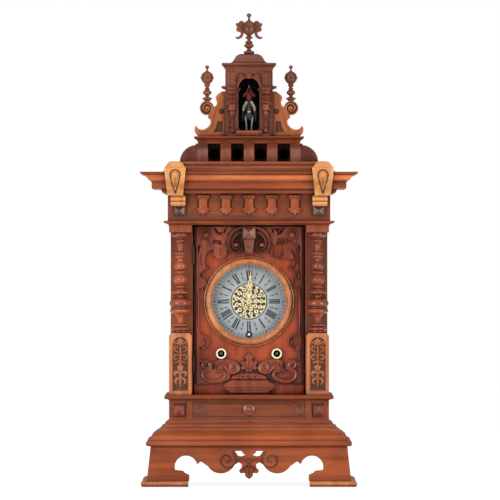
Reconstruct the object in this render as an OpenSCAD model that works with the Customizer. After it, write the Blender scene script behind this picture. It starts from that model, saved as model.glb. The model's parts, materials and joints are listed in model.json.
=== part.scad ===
// Carved walnut mantel clock with a bugler automaton, its case, movement and wind music.
// Millimetres, +Z up, the dial faces -Y, the origin lies under the middle of the case.

/* [Case] */
// Width of the case body over its side boards
body_w = 336; // [330:1:342]
// Depth of the case body from its front plane to its flat back
body_d = 252; // [248:1:262]
// Thickness of the case boards
board_t = 9; // [7:0.5:10]
// Reach of the feet beyond the body at the front and sides
foot_out = 58.5; // [54:0.5:60]
// Reach of the cornice slab beyond the body at the front and sides
cornice_out = 59.6; // [56:0.1:62]
// How far the corbels stand in front of the cornice slab
corbel_proud = 8.4; // [4:0.1:12]
// Running gap between wooden parts that move past each other
wood_gap = 0.8; // [0.5:0.1:1.2]
// Gap between pieces that lie against each other
seat_gap = 0.3; // [0.3:0.05:0.4]

/* [Heights] */
// Height of the moulded pads under the feet
foot_h = 12.4; // [10:0.2:16]
// Height of the sloping apron
apron_h = 72; // [66:1:78]
// Height of the stepped base moulding
base_h = 54; // [50:1:60]
// Height of the drawer level
drawer_h = 42; // [38:1:46]
// Height of the shelf moulding above the drawer
shelf_h = 11; // [9:0.5:13]
// Height of the columned bay that holds the door
bay_h = 357; // [350:1:364]
// Height of the architrave moulding
architrave_h = 9; // [7:0.5:11]
// Height of the frieze
frieze_h = 54; // [50:1:58]
// Height of the main cornice
cornice_h = 48; // [44:1:52]
// Height of the crown board
crown_h = 22; // [18:1:26]
// Radius of the quarter-round gallery ribs
rib_r = 36; // [32:1:40]
// Height of the turret plinth
turret_plinth_h = 15; // [12:1:18]
// Height of the turret body
turret_h = 138; // [134:1:142]
// Height of the turret cornice
turret_cornice_h = 18; // [16:0.5:20]
// Height of the bell-shaped turret roof
dome_h = 19; // [17:0.5:21]

/* [Drawer and base] */
// Clear width of the drawer opening
drawer_w = 236; // [228:1:244]
// Depth of the drawer from its front to its back
drawer_d = 190; // [170:1:200]
// Travel of the drawer
drawer_travel = 150; // [120:1:160]
// Radius of the drawer knob
knob_r = 6; // [5:0.25:8]
// Lean of the apron boards, in degrees from upright
apron_lean = 6.3; // [5:0.1:7]
// Thickness of the apron boards
apron_t = 14; // [12:0.5:16]

/* [Columns] */
// Side of the square pedestals
pedestal_w = 47.5; // [46:0.5:48]
// Height of the pedestals
pedestal_h = 130; // [124:1:136]
// Radius of the double torus, the widest part of a column
torus_r = 23.2; // [21:0.1:23.5]
// Thickness of the boards behind the columns
pilaster_t = 18; // [15:0.5:20]

/* [Front door] */
// Width of the front door
door_w = 231.2; // [226:0.2:232]
// Thickness of the door panel
door_t = 12; // [10:0.5:13]
// Thickness of the pierced carving on the door
fret_t = 8; // [6:0.5:8]
// Outer radius of the turned bezel
bezel_r = 95.3; // [92:0.1:97]
// Radius of the dial opening in the bezel
dial_hole_r = 77.5; // [76:0.1:79]
// Radius of the winding holes in the door
wind_hole_r = 7.4; // [6.6:0.1:8]
// Outer radius of the pale rings round the winding holes
wind_ring_r = 11; // [10:0.1:12.5]
// Opening angle of the front door, in degrees
door_swing = 85; // [60:1:88]

/* [Dial and hands] */
// Height of the dial centre above the shelf
dial_up = 195.6; // [190:0.1:200]
// Radius of the dial plate
dial_r = 82; // [80:0.1:84]
// Length of the minute hand from its centre
minute_len = 68.9; // [60:0.1:72]
// Length of the hour hand from its centre
hour_len = 46; // [40:0.1:52]
// Thickness of each hand
hand_t = 1; // [0.8:0.1:1.2]

/* [Movement] */
// Distance between the movement plates
plate_gap = 58; // [54:1:62]
// Thickness of the movement plates
plate_t = 3; // [2.5:0.1:4]
// Radial running clearance of arbors in their holes
run = 0.05; // [0.03:0.01:0.08]
// Radius of the winding squares' shafts
arbor_r = 3.1; // [2.8:0.1:3.6]
// Radius of the thin train arbors
pivot_r = 1.5; // [1.2:0.1:1.8]
// Module of the going great wheel
great_m = 1.5; // [1.45:0.01:1.52]
// Length of the pendulum from its pivot to the bob's centre
pendulum_l = 205; // [190:1:215]
// Radius of the pendulum bob
bob_r = 24; // [20:0.5:27]

/* [Turret and figure] */
// Width of the turret body
turret_w = 100; // [96:0.5:104]
// Depth of the turret body
turret_d = 84; // [80:1:92]
// Width of the figure's niche
niche_w = 45; // [43:0.5:47]
// Height of the niche's straight sides
niche_side_h = 90; // [86:0.5:94]
// Thickness of the turret wings
wing_t = 15; // [12:0.5:18]
/* [Hidden] */

$fn = 48;
walnut = [0.45, 0.22, 0.12];
walnut_dark = [0.3, 0.14, 0.08];
walnut_gold = [0.68, 0.42, 0.2];
brass = [0.78, 0.62, 0.3];
steel = [0.6, 0.62, 0.64];
pewter = [0.62, 0.66, 0.68];
gilt = [0.85, 0.72, 0.4];

// Levels from the ground up
z_apron = foot_h;
z_base = z_apron + apron_h;
z_drawer = z_base + base_h;
z_shelf = z_drawer + drawer_h;
z_bay = z_shelf + shelf_h;
z_arch = z_bay + bay_h;
z_frieze = z_arch + architrave_h;
z_corn = z_frieze + frieze_h;
z_crown = z_corn + cornice_h;
z_gallery = z_crown + crown_h;
z_plinth = z_gallery + rib_r + 3;
z_turret = z_plinth + turret_plinth_h;
z_tcorn = z_turret + turret_h;
z_dome = z_tcorn + turret_cornice_h;
z_finial = z_dome + dome_h;

// Planes across the depth and half widths
half = body_w / 2;
reach = cornice_out + corbel_proud;
back_y = (body_d + reach) / 2;
front_y = back_y - body_d;
pilaster_y = front_y + pedestal_w;
door_y = pilaster_y + pilaster_t + 6.5;
panel_y = door_y - door_t;
fret_y = panel_y - fret_t;
bezel_y = fret_y - 6;
bay_half = half - 3.5;
col_x = half - pedestal_w / 2;
col_y = front_y + pedestal_w / 2;
frieze_out = 2.6;
frieze_y = front_y - frieze_out;

// Curves for outlines and moulding profiles
function arc(cx, cy, r, a0, a1, n = 12) =
    [for (i = [0:n]) let (a = a0 + (a1 - a0) * i / n) [cx + r * cos(a), cy + r * sin(a)]];
function ogee(a, b, n = 6) =
    [for (i = [0:n]) let (t = i / n) [a[0] + (b[0] - a[0]) * (1 - cos(180 * t)) / 2, a[1] + (b[1] - a[1]) * t]];
function hollow(a, b, n = 5) =
    [for (i = [0:n]) let (t = 90 * i / n, d = b - a)
        [a[0] + d[0] * (1 - cos(t)), a[1] + d[1] * sin(t)]];
function swell(a, b, n = 5) =
    [for (i = [0:n]) let (t = 90 * i / n, d = b - a)
        [a[0] + d[0] * sin(t), a[1] + d[1] * (1 - cos(t))]];
function bead(z0, z1, r0, r1, n = 8) =
    [for (i = [0:n]) [r0 + (r1 - r0) * sin(180 * i / n), z0 + (z1 - z0) * i / n]];
function lift(p, dz) = [for (q = p) [q[0], q[1] + dz]];
function grow(p, d) = [for (q = p) [q[0] + d, q[1]]];
function mirrored(p) = [for (i = [len(p) - 1:-1:0]) [-p[i][0], p[i][1]]];

// Body with a moulded front and sides and a flat back, from a profile of [reach, height]
module moulded(p, w = half, f = front_y, b = back_y) {
    intersection() {
        translate([0, b, 0])
            rotate([90, 0, 0])
                linear_extrude(b - f + 2 * reach)
                    polygon(concat(grow(p, w), mirrored(grow(p, w))));
        rotate([90, 0, 90])
            linear_extrude(2 * (w + reach), center = true)
                polygon(concat([for (q = p) [f - q[0], q[1]]], [[b, p[len(p) - 1][1]], [b, p[0][1]]]));
    }
}

// Upright prism over a flat outline in X and Z, from its front plane backwards
module board(front, t) {
    translate([0, front + t, 0])
        rotate([90, 0, 0])
            linear_extrude(t)
                children();
}

// Prism across X over a flat outline in Y and Z
module across(x0, x1) {
    translate([x0, 0, 0])
        rotate([90, 0, 90])
            linear_extrude(x1 - x0)
                children();
}

module both() {
    children();
    mirror([1, 0, 0])
        children();
}

// Box from its corners
module brick(x0, x1, y0, y1, z0, z1) {
    translate([x0, y0, z0])
        cube([x1 - x0, y1 - y0, z1 - z0]);
}

// Cylinder whose axis runs along Y, from the plane y0 to y1
module rod_y(x, z, r, y0, y1) {
    translate([x, y1, z])
        rotate([90, 0, 0])
            cylinder(r = r, h = y1 - y0);
}

// Body turned about an upright axis, from a profile of [radius, height]
module turned(x, y, z, p) {
    translate([x, y, z])
        rotate_extrude()
            polygon(concat([[0, p[0][1]]], p, [[0, p[len(p) - 1][1]]]));
}

// Square pyramid boss with its point towards the front
module pyramid(x, z, w, front, h) {
    translate([x, front, z])
        intersection() {
            rotate([90, 0, 90])
                linear_extrude(w, center = true)
                    polygon([[0, -w / 2], [-h, 0], [0, w / 2]]);
            linear_extrude(w, center = true)
                polygon([[-w / 2, 0], [0, -h], [w / 2, 0]]);
        }
}

// Base: the pads, the sloping apron with its cut-outs and the stepped moulding
apron_top_out = 38;
apron_foot_out = apron_top_out + apron_h * tan(apron_lean);
foot_in = 125;
foot_side_in = 70;
rear_foot_out = 16;
rear_rail_h = 8;

module foot_pads() {
    pad = concat([[foot_out - 5, 0]], [[foot_out - 1, 1]], arc(foot_out - 4, 6.5, 4, -60, 60, 6),
                 [[foot_out - 8, foot_h - seat_gap]]);
    color(walnut_gold)
        difference() {
            moulded(pad);
            brick(-foot_in - 2, foot_in + 2, front_y - reach - 1, back_y + 1, -1, foot_h + 1);
            brick(-half - reach, half + reach, front_y + foot_side_in - 20, back_y - foot_side_in, -1, foot_h + 1);
            brick(-half - rear_foot_out + 2, half + rear_foot_out - 2, front_y - apron_top_out + 20,
                  back_y + 1, -1, foot_h + 1);
        }
}

// The opening cut in the front apron, drawn for the right half
module apron_cut() {
    hole_c = [131.7, z_apron + 29];
    lobe_c = [59, z_apron + 47.6];
    polygon(concat([[0, z_apron - 1], [foot_in, z_apron - 1], [foot_in, z_apron + 12.6],
                    [foot_in + 9, z_apron + 16.6], [foot_in + 13, z_apron + 21]],
                   arc(hole_c[0], hole_c[1], 23.7, -15, 167, 18),
                   [[hole_c[0] - 30.9, z_apron + 40.6]],
                   arc(lobe_c[0], lobe_c[1], 32, -32, -155, 14),
                   [[26, z_apron + 36], [22, z_apron + 38.6], [15, z_apron + 35], [15.6, z_apron + 27]],
                   arc(15.5, z_apron + 21, 5, 60, -110, 8),
                   [[8.4, z_apron + 16.6]], arc(0, z_apron + 14, 8.5, 10, -60, 5), [[0, z_apron + 4]]));
    polygon([[7, z_apron + 54.2], [13.2, z_apron + 57.6], [15.5, z_apron + 62.4], [29.4, z_apron + 62.4],
             [23, z_apron + 52.6], [16.4, z_apron + 51]]);
}

// The opening in the side aprons, drawn in Y and Z
module apron_side_cut() {
    f = front_y - apron_top_out;
    y0 = f + 92;
    y1 = back_y - 62;
    polygon(concat([[y1, z_apron - 1], [y0, z_apron - 1], [y0, z_apron + 14]],
                   arc(y0 - 2, z_apron + 29, 15, 260, 30, 12),
                   [[y0 + 24, z_apron + 22]], arc((y0 + y1) / 2, z_apron + 14, 24, 180, 0, 12),
                   [[y1 - 24, z_apron + 22]],
                   arc(y1 + 2, z_apron + 29, 15, 150, -80, 12), [[y1, z_apron + 14]]));
}

module apron() {
    wall = [[apron_foot_out, z_apron], [apron_top_out, z_base]];
    room = [[apron_foot_out - apron_t, z_apron - 1], [apron_top_out - apron_t, z_base + 1]];
    color(walnut)
        difference() {
            moulded(wall);
            moulded(room, half, front_y, back_y - apron_t);
            board(front_y - reach, reach)
                union() {
                    apron_cut();
                    mirror([1, 0])
                        apron_cut();
                }
            across(-half - reach, half + reach)
                apron_side_cut();
            brick(-half - rear_foot_out, half + rear_foot_out, back_y - apron_t - 1, back_y + 1, z_apron - 1,
                  z_base - rear_rail_h);
        }
}

module base_moulding() {
    p = concat([[apron_top_out + 2, z_base + 0.1]], arc(apron_top_out + 4.5, z_base + 6, 5.5, -75, 75, 8),
               [[apron_top_out + 1, z_base + 13]],
               ogee([apron_top_out + 1, z_base + 16], [17, z_base + base_h - 16]),
               [[12, z_base + base_h - 15.5]],
               ogee([11.5, z_base + base_h - 13], [1.5, z_base + base_h - 1.5], 5), [[0.5, z_base + base_h]]);
    color(walnut)
        difference() {
            moulded(p);
            brick(-half + 10, half - 10, front_y + 10, back_y - 14, z_base - 1, z_drawer - 10);
        }
}

// Drawer level
drawer_z0 = z_drawer + 3;
drawer_z1 = z_shelf - 3;
drawer_half = drawer_w / 2;
front_wall = 20;

module drawer_case() {
    color(walnut)
        difference() {
            brick(-half, half, front_y, back_y, z_drawer, z_shelf);
            brick(-drawer_half, drawer_half, front_y - 1, front_y + front_wall + 1, drawer_z0, drawer_z1);
            brick(-half + board_t, half - board_t, front_y + front_wall, back_y - board_t, drawer_z0, drawer_z1);
            both()
                brick(end_x - 13.5, end_x + 13.5, front_y - 1, front_y + 3, z_drawer + 7, z_shelf - 5.5);
        }
    color(walnut)
        both()
            pyramid(end_x, end_z, 21, front_y + 3, 7);
    color(walnut_dark)
        both()
            brick(drawer_half, drawer_half + 8, front_y + front_wall, back_y - board_t, drawer_z0, drawer_z0 + 12);
}

end_x = half - 24.2;
end_z = z_drawer + 21;

module drawer_box() {
    x = drawer_half - wood_gap;
    z0 = drawer_z0 + seat_gap;
    z1 = drawer_z1 - wood_gap;
    y0 = front_y + 14;
    color(walnut_dark)
        difference() {
            brick(-x, x, y0, y0 + drawer_d, z0, z1);
            brick(-x + 7, x - 7, y0 + 7, y0 + drawer_d - 7, z0 + 5, z1 + 1);
        }
}

module drawer_front() {
    x = drawer_half - wood_gap;
    z0 = drawer_z0 + seat_gap;
    z1 = drawer_z1 - wood_gap;
    y0 = front_y + 0.5;
    color(walnut)
        difference() {
            brick(-x, x, y0, front_y + 14, z0, z1);
            difference() {
                brick(-x + 5, x - 5, y0 - 1, y0 + 1, z0 + 4, z1 - 3);
                brick(-x + 6.5, x - 6.5, y0 - 2, y0 + 2, z0 + 5.5, z1 - 4.5);
            }
            rod_y(0, knob_z, 2 + run, y0 - 1, front_y + 15);
        }
}

knob_z = z_drawer + 22.5;

module drawer_knob() {
    color(walnut_gold)
        translate([0, front_y + 0.5, knob_z])
            rotate([90, 0, 0])
                rotate_extrude()
                    polygon(concat([[0, -12], [2, -12], [2, 0], [11, 0], [11.2, 2], [9, 3], [3.5, 4]],
                                   arc(0, 4 + knob_r, knob_r, -50, 90, 8)));
}

module shelf_board() {
    p = concat([[1, z_shelf], [3, z_shelf + 2]], arc(5.2, z_shelf + 6, 4.8, -55, 70, 7), [[4, z_bay]]);
    color(walnut)
        moulded(p);
}

// Columned bay
capital_h = 16;
column_h = bay_h - pedestal_h - capital_h;
panel_w = pedestal_w - 14;

module pedestals() {
    w = pedestal_w / 2;
    color(walnut)
        both()
            difference() {
                board(front_y, pedestal_w)
                    polygon([[col_x - w, z_bay], [col_x + w, z_bay], [col_x + w, z_bay + pedestal_h - 6],
                             [col_x + w - 5, z_bay + pedestal_h], [col_x - w + 5, z_bay + pedestal_h],
                             [col_x - w, z_bay + pedestal_h - 6]]);
                board(front_y - 1, 4)
                    pedestal_panel(0);
            }
}

// Arched panel in the pedestal face, drawn with its edge set in by d
module pedestal_panel(d) {
    w = panel_w / 2 - d;
    polygon(concat([[col_x - w, z_bay + 8 + d], [col_x + w, z_bay + 8 + d]],
                   arc(col_x, z_bay + pedestal_h - 8 - panel_w / 2, w, 0, 180, 14)));
}

// Scrolled foliage standing in the pedestal panels
module pedestal_carvings() {
    y0 = front_y + 0.5;
    t = 2.5;
    zc = z_bay + pedestal_h / 2;
    color(walnut_gold)
        both()
            board(y0, t)
                union() {
                    difference() {
                        pedestal_panel(seat_gap);
                        pedestal_panel(2);
                    }
                    translate([col_x, zc + 31])
                        rosette(6);
                    translate([col_x, zc - 20])
                        rosette(6);
                    translate([col_x - 1.6, z_bay + 9])
                        square([3.2, pedestal_h - 26]);
                    for (s = [-1, 1], k = [0:3])
                        translate([col_x + s * 8.6, zc + 34 - 24 * k])
                            scroll(6.6, s);
                }
}

// Small flower outline of four petals
module rosette(r) {
    circle(r = r * 0.45);
    for (a = [45:90:315])
        rotate(a)
            translate([r * 0.58, 0])
                circle(r = r * 0.42, $fn = 24);
}

// Open ring with a bud inside, the plain form of a carved C-scroll
module scroll(r, s) {
    difference() {
        circle(r = r, $fn = 32);
        circle(r = r * 0.62, $fn = 32);
        translate([s * r * 0.2, -r * 1.2])
            square([r * 1.4, r], center = false);
    }
    translate([s * r * 0.2, 0])
        circle(r = r * 0.36, $fn = 24);
}

// Half outline of a column, from its foot to its abacus
function column_profile(h) = concat(
    [[20, 0], [20, 3]], bead(3.5, 16.5, 15, 20.4), [[9, 18], [8.2, 24], [9.5, 34], [15, 37.5]],
    bead(38.5, 53, 17, torus_r), [[20.4, 53.4]], bead(53.8, 71, 17, torus_r - 1.5), [[9, 73], [7, 77], [8, 81]],
    bead(82, 87.5, 16, 20.4, 6), [[8, 90], [7, 95]], bead(98, 122, 7.5, 15, 10), [[7, 126], [7.6, 131]],
    bead(132.5, 149.5, 6.5, 10.5), [[6.2, 152.5]], bead(155, 166, 6, 7.8, 6), [[6.3, 169], [6.2, h - 19], [5.9, h - 12]],
    bead(h - 10, h - 2.5, 15, 20, 6), [[19, h - 1], [19, h]]);

module columns() {
    color(walnut)
        both()
            turned(col_x, col_y, z_bay + pedestal_h, column_profile(column_h));
}

// Blocks over the columns
module capitals() {
    w = pedestal_w / 2;
    p = [[-1, z_arch - capital_h], [0, z_arch - capital_h + 1], [0, z_arch - 3], [1.2, z_arch - 2], [1.2, z_arch]];
    color(walnut)
        both()
            translate([col_x, 0, 0])
                moulded(p, w, front_y + 1, pilaster_y);
}

// Inner edge of the boards behind the columns, where the door's fixed hinge leaves lie
pilaster_in = door_w / 2 + 2.65;

module pilaster_boards() {
    capitals();
    color(walnut)
        both()
            brick(pilaster_in, bay_half + 0.6, pilaster_y, pilaster_y + pilaster_t, z_bay, z_arch);
}

// Side boards with a long sunk panel in each
module side_boards() {
    seat_board();
    color(walnut)
        both()
            difference() {
                brick(bay_half - board_t, bay_half, pilaster_y + pilaster_t, back_y - board_t, z_bay, z_arch);
                brick(bay_half - 2.5, bay_half + 1, pilaster_y + pilaster_t + 26, back_y - 40,
                      z_bay + 34, z_arch - 34);
            }
}

// Shelf that the movement stands on, housed between the sides
module seat_board() {
    wheel_r = music_n * music_m / 2 + music_m + 1;
    color(walnut_dark)
        difference() {
            brick(-bay_half + board_t, bay_half - board_t, door_y + 6, plate_y3 + 3, seat_z, plate_z0);
            both()
                rod_y(wind_x, wind_z, wheel_r, plate_y1 + 13, plate_y1 + 20);
        }
}

door_back_w = 250;
door_back_z0 = z_bay + 16;
door_back_z1 = z_arch - 16;

module back_frame() {
    x = door_back_w / 2 + wood_gap;
    color(walnut_dark)
        difference() {
            brick(-bay_half, bay_half, back_y - board_t, back_y, z_bay, z_arch);
            brick(-x, x, back_y - board_t - 1, back_y + 1, door_back_z0 - wood_gap, door_back_z1 + wood_gap);
            brick(x - 1, x + 0.8, back_y - 3, back_y + 1, door_back_z0, door_back_z1);
            for (z = back_hinge_z)
                brick(x - 1, x + 7, back_y - 5, back_y + 1, z - 16, z + 16);
        }
    color(brass)
        for (z = back_hinge_z) {
            brick(x + 5.6, x + 7, back_y - 4.7, back_y - 2.7, z - 15.5, z + 15.5);
            for (s = [-1, 1]) {
                brick(back_pin_x, x + 6, back_y - 4.7, back_y - 2.7, z + s * 10.5 - 5, z + s * 10.5 + 5);
                translate([back_pin_x, back_pin_y, z + s * 10.5 - 5])
                    cylinder(r = 2.35, h = 10);
            }
            translate([back_pin_x, back_pin_y, z - 15.5])
                cylinder(r = 1.2, h = 31);
        }
}

back_hinge_z = [door_back_z0 + 50, door_back_z1 - 50];
back_pin_x = door_back_w / 2 + wood_gap + 2.7;
back_pin_y = back_y - 2.4;

module back_door() {
    x = door_back_w / 2;
    y0 = back_y - board_t;
    color(walnut_dark)
        difference() {
            brick(-x, x, y0 + 1, back_y - 0.5, door_back_z0, door_back_z1);
            for (k = [0:6])
                brick(-54 + 16 * k, -46 + 16 * k, y0, back_y, door_back_z1 - 120, door_back_z1 - 50);
            for (z = back_hinge_z)
                brick(x - 9, x + 1, back_y - 5, back_y, z - 5.6, z + 5.6);
            rod_y(-x + 14, latch_z, 2.5 + run, y0, back_y + 1);
        }
    color(brass)
        for (z = back_hinge_z)
            difference() {
                union() {
                    brick(x - 8.6, back_pin_x, back_y - 4.7, back_y - 2.7, z - 5.2, z + 5.2);
                    translate([back_pin_x, back_pin_y, z - 5.2])
                        cylinder(r = 2.4, h = 10.4);
                }
                translate([back_pin_x, back_pin_y, z - 6])
                    cylinder(r = 1.2 + run, h = 12);
            }
}

latch_z = (door_back_z0 + door_back_z1) / 2;

// Turn button on the inside of the back door, its spindle through the door
module back_latch() {
    x = -door_back_w / 2 + 14;
    y0 = back_y - board_t - 4;
    color(brass) {
        rod_y(x, latch_z, 2.5, y0 + 3, back_y - 0.1);
        brick(x - 5, x + 5, y0, y0 + 3.2, latch_z - 24, latch_z + 6);
    }
}

// Front door: panel, pierced carving, crest and bezel
door_half = door_w / 2;
door_z0 = z_bay + 1.2;
door_z1 = z_arch - 1.2;
dial_z = z_bay + dial_up;
wind_x = 58.7;
wind_z = dial_z - 110;
hinge_x = -door_half - 1.4;
hinge_y = bezel_y - 1;
hinge_z = [door_z0 + 62, door_z1 - 62];

module front_door() {
    color(walnut)
        difference() {
            brick(-door_half, door_half, panel_y, door_y, door_z0, door_z1);
            rod_y(0, dial_z, dial_hole_r + 1, panel_y - 1, door_y + 1);
            both()
                rod_y(wind_x, wind_z, wind_hole_r, panel_y - 1, door_y + 1);
        }
    color(brass)
        door_knuckles();
}

// Half of the carved overlay: a lobed strap frame with scrolls at its foot
module carving_half() {
    w = door_half - 3;
    top = door_z1 - 3;
    foot = door_z0 + 10;
    difference() {
        union() {
            translate([-1, dial_z + 104])
                square([w + 1, top - dial_z - 104]);
            translate([w - 13, foot])
                square([13, top - foot]);
            for (q = [[58, dial_z + 103, 13], [80, dial_z + 88, 15], [97, dial_z + 68, 13], [100, dial_z + 26, 11],
                      [98, dial_z - 30, 8], [97, wind_z + 14, 14.5], [96, wind_z - 22, 13.5]])
                translate([q[0], q[1]])
                    circle(r = q[2]);
            strap(76, wind_z - 38, 22, 12, 170, 340);
            strap(66, wind_z - 30, 15, 8, 20, 150);
            strap(42, wind_z - 40, 20, 7, 30, 130);
            translate([33, wind_z - 30])
                circle(r = 12);
            translate([-1, wind_z - 46])
                square([58, 12]);
        }
        carving_clearance();
        translate([63, top - 3])
            circle(r = 6);
        translate([68, top - 31])
            circle(r = 5);
        polygon([[w - 2, top - 26], [w - 9, top - 44], [w - 2, top - 62]]);
        for (z = [wind_z + 14, wind_z - 18])
            translate([w - 6, z])
                circle(r = 2.6, $fn = 24);
    }
}

// Curved strap of width t along an arc of radius r
module strap(x, z, r, t, a0, a1) {
    n = 10;
    translate([x, z])
        polygon(concat(arc(0, 0, r, a0, a1, n), arc(0, 0, r - t, a1, a0, n)));
}

// Clears the overlay round the bezel and the winding rings
module carving_clearance() {
    translate([0, dial_z])
        circle(r = bezel_r + seat_gap, $fn = 96);
    translate([wind_x, wind_z])
        circle(r = wind_ring_r + 1);
}

module door_carving() {
    door_bosses();
    color(walnut)
        board(fret_y, fret_t)
            union() {
                carving_half();
                mirror([1, 0])
                    carving_half();
                palmette();
            }
    color(walnut) {
        board(fret_y - 4, fret_t + 4)
            polygon([[-52, door_z0], [52, door_z0], [52, door_z0 + 8], [46, door_z0 + 9], [46, door_z0 + 13],
                     [30, door_z0 + 18], [0, door_z0 + 27], [-30, door_z0 + 18], [-46, door_z0 + 13],
                     [-46, door_z0 + 9], [-52, door_z0 + 8]]);
    }
}

// Upright leaf over the foot of the door
module palmette() {
    c = wind_z - 21;
    polygon(concat([[-4, c - 18], [4, c - 18]], arc(11, c - 2, 6.5, -80, 150, 9), arc(0, c + 14, 7, -20, 90, 5),
                   [for (i = [5:-1:0]) let (a = -20 + 22 * i) [-7 * cos(a), c + 14 + 7 * sin(a)]],
                   mirrored(arc(11, c - 2, 6.5, -80, 150, 9))));
}

// Crest over the dial: a keystone with a pyramid between two ram's horn volutes
module crest() {
    top = door_z1 - 1;
    y = fret_y - 10;
    color(walnut_dark) {
        board(y, fret_t + 2)
            both_2d()
                difference() {
                    union() {
                        strap(0, top - 40, 40, 12, -4, 92);
                        translate([27, top - 41])
                            circle(r = 12.5);
                    }
                    translate([27, top - 41])
                        difference() {
                            circle(r = 8.5);
                            circle(r = 4.5);
                            translate([-2, 0])
                                square([4, 9]);
                        }
                }
        board(y - 6, fret_t + 8)
            union() {
                translate([-13.3, top - 28])
                    square([26.6, 27]);
                polygon([[-11.5, top - 27], [11.5, top - 27], [9, top - 58], [-9, top - 58]]);
            }
    }
    color(walnut)
        pyramid(0, top - 14.5, 24, y - 6 - seat_gap / 10, 4);
}

module both_2d() {
    children();
    mirror([1, 0])
        children();
}

module door_bosses() {
    p = concat([[0, 0], [12, 0], [12, 2], [10, 4], [8, 3.5], [7, 3.5]], arc(0, 2.5, 7, 12, 90, 6));
    color(walnut_gold)
        both()
            translate([90.5, fret_y, door_z1 - 18])
                rotate([90, 0, 0])
                    rotate_extrude()
                        polygon(p);
}

// Turned wooden ring round the dial, with a step inside and a round edge
module bezel() {
    y0 = panel_y - bezel_y;
    color(walnut_gold)
        translate([0, panel_y, dial_z])
            rotate([90, 0, 0])
                rotate_extrude($fn = 96)
                    polygon(concat([[bezel_r, 0]], arc(bezel_r - 5, y0 - 5.5, 5, 0, 90, 6),
                                   arc(bezel_r - 10, y0 - 4.5, 3, 80, 180, 5),
                                   [[dial_hole_r + 3, y0 - 8], [dial_hole_r, y0 - 10], [dial_hole_r, 0]]));
}

module winding_rings() {
    color([0.92, 0.9, 0.82])
        both()
            translate([wind_x, panel_y, wind_z])
                rotate([90, 0, 0])
                    rotate_extrude()
                        polygon([[wind_hole_r, 0], [wind_ring_r, 0], [wind_ring_r, 1.6],
                                 [wind_ring_r - 1, 2.4], [wind_hole_r, 2.4]]);
}

// Butt hinges: fixed leaves on the pilaster edge, their knuckles and pins in front of the door edge
knuckle_r = 1.8;
pin_r = 0.9;

module door_hinges() {
    x0 = -pilaster_in + seat_gap / 4;
    color(brass)
        for (z = hinge_z) {
            for (s = [-1, 1]) {
                brick(x0, hinge_x + 0.5, hinge_y, pilaster_y + 12, z + s * 13.5 - 6.5, z + s * 13.5 + 6.5);
                translate([hinge_x, hinge_y, z + s * 13.5 - 6.5])
                    cylinder(r = knuckle_r, h = 13);
            }
            brick(x0, hinge_x + 0.5, hinge_y + 3, pilaster_y + 12, z - 8, z + 8);
            translate([hinge_x, hinge_y, z - 20])
                cylinder(r = pin_r, h = 40);
        }
}

module door_knuckles() {
    for (z = hinge_z)
        difference() {
            union() {
                translate([hinge_x, hinge_y, z - 6.7])
                    cylinder(r = knuckle_r, h = 13.4);
                brick(hinge_x, hinge_x + 3, hinge_y - 0.8, hinge_y + 0.8, z - 6.7, z + 6.7);
                brick(-door_half, -door_half + 1.6, hinge_y - 0.8, panel_y, z - 6.7, z + 6.7);
                brick(-door_half, -door_half + 2.8, panel_y - 1.5, panel_y, z - 18, z + 18);
            }
            translate([hinge_x, hinge_y, z - 8])
                cylinder(r = pin_r + run, h = 16);
        }
}

// Entablature
module architrave() {
    p = concat([[-2, z_arch]], ogee([3, z_arch + 0.8], [11, z_arch + 5], 4), [[12, z_arch + 6], [12, z_arch + 8],
               [frieze_out, z_frieze]]);
    color(walnut)
        difference() {
            moulded(p);
            brick(-bay_half + 16, bay_half - 16, door_y + 4, back_y - 20, z_arch - 1, z_frieze + 1);
        }
}

module frieze() {
    color(walnut)
        difference() {
            moulded([[frieze_out, z_frieze], [frieze_out, z_corn]]);
            brick(-half + board_t, half - board_t, frieze_y + 14, back_y - board_t, z_frieze - 1, z_corn + 1);
        }
}

pendant_pitch = 48.1;
pendant_t = 6;

// Strap pendant with a tab, a flared foot and a pointed trefoil, its top at z
module pendant(x, z) {
    translate([x, z])
        both_2d()
            polygon(concat([[0, 0], [12.4, 0], [12.4, -7], [8.8, -8], [8.8, -24], [14.6, -28], [14.6, -30],
                            [9, -31]], arc(6.5, -34, 4, 40, -90, 5), [[0, -44]]));
}

module pendants() {
    color(walnut)
        for (k = [-2:2])
            board(frieze_y - pendant_t, pendant_t)
                difference() {
                    pendant(k * pendant_pitch, z_corn - seat_gap);
                    translate([k * pendant_pitch, z_corn - 25])
                        circle(r = 1.6, $fn = 24);
                }
}

// Profile of the main cornice, from the ovolo up to the slab
function cornice_profile() = concat(
    [[frieze_out, z_corn]], swell([frieze_out + 3, z_corn + 1], [29, z_corn + 10.5], 6),
    [[32, z_corn + 11.5], [33.5, z_corn + 12.5], [33.5, z_corn + 24], [30, z_corn + 26]],
    ogee([31, z_corn + 27], [cornice_out - 4, z_crown - 6], 7), [[cornice_out, z_crown - 5], [cornice_out, z_crown]]);

module cornice() {
    color(walnut)
        difference() {
            moulded(cornice_profile());
            brick(-half + board_t, half - board_t, frieze_y + 14, back_y - board_t, z_corn - 1, z_crown + 1);
        }
}

corbel_x = 154.6;
corbel_low = z_corn - 43;
corbel_y = front_y - reach;

// Front outline of a corbel, drawn about its own axis
module corbel_front() {
    h = z_crown + 22 - corbel_low;
    both_2d()
        polygon(concat([[0, 0], [13, 0], [13, 20], [17, 21], [17, 40], [16.4, 41.5], [22.6, h - 18],
                        [22.8, h - 13.6], [20, h - 12.4], [19.8, h - 10], [16.8, h - 8]],
                       arc(0, h - 40, 40, 66, 90, 6)));
}

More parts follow.
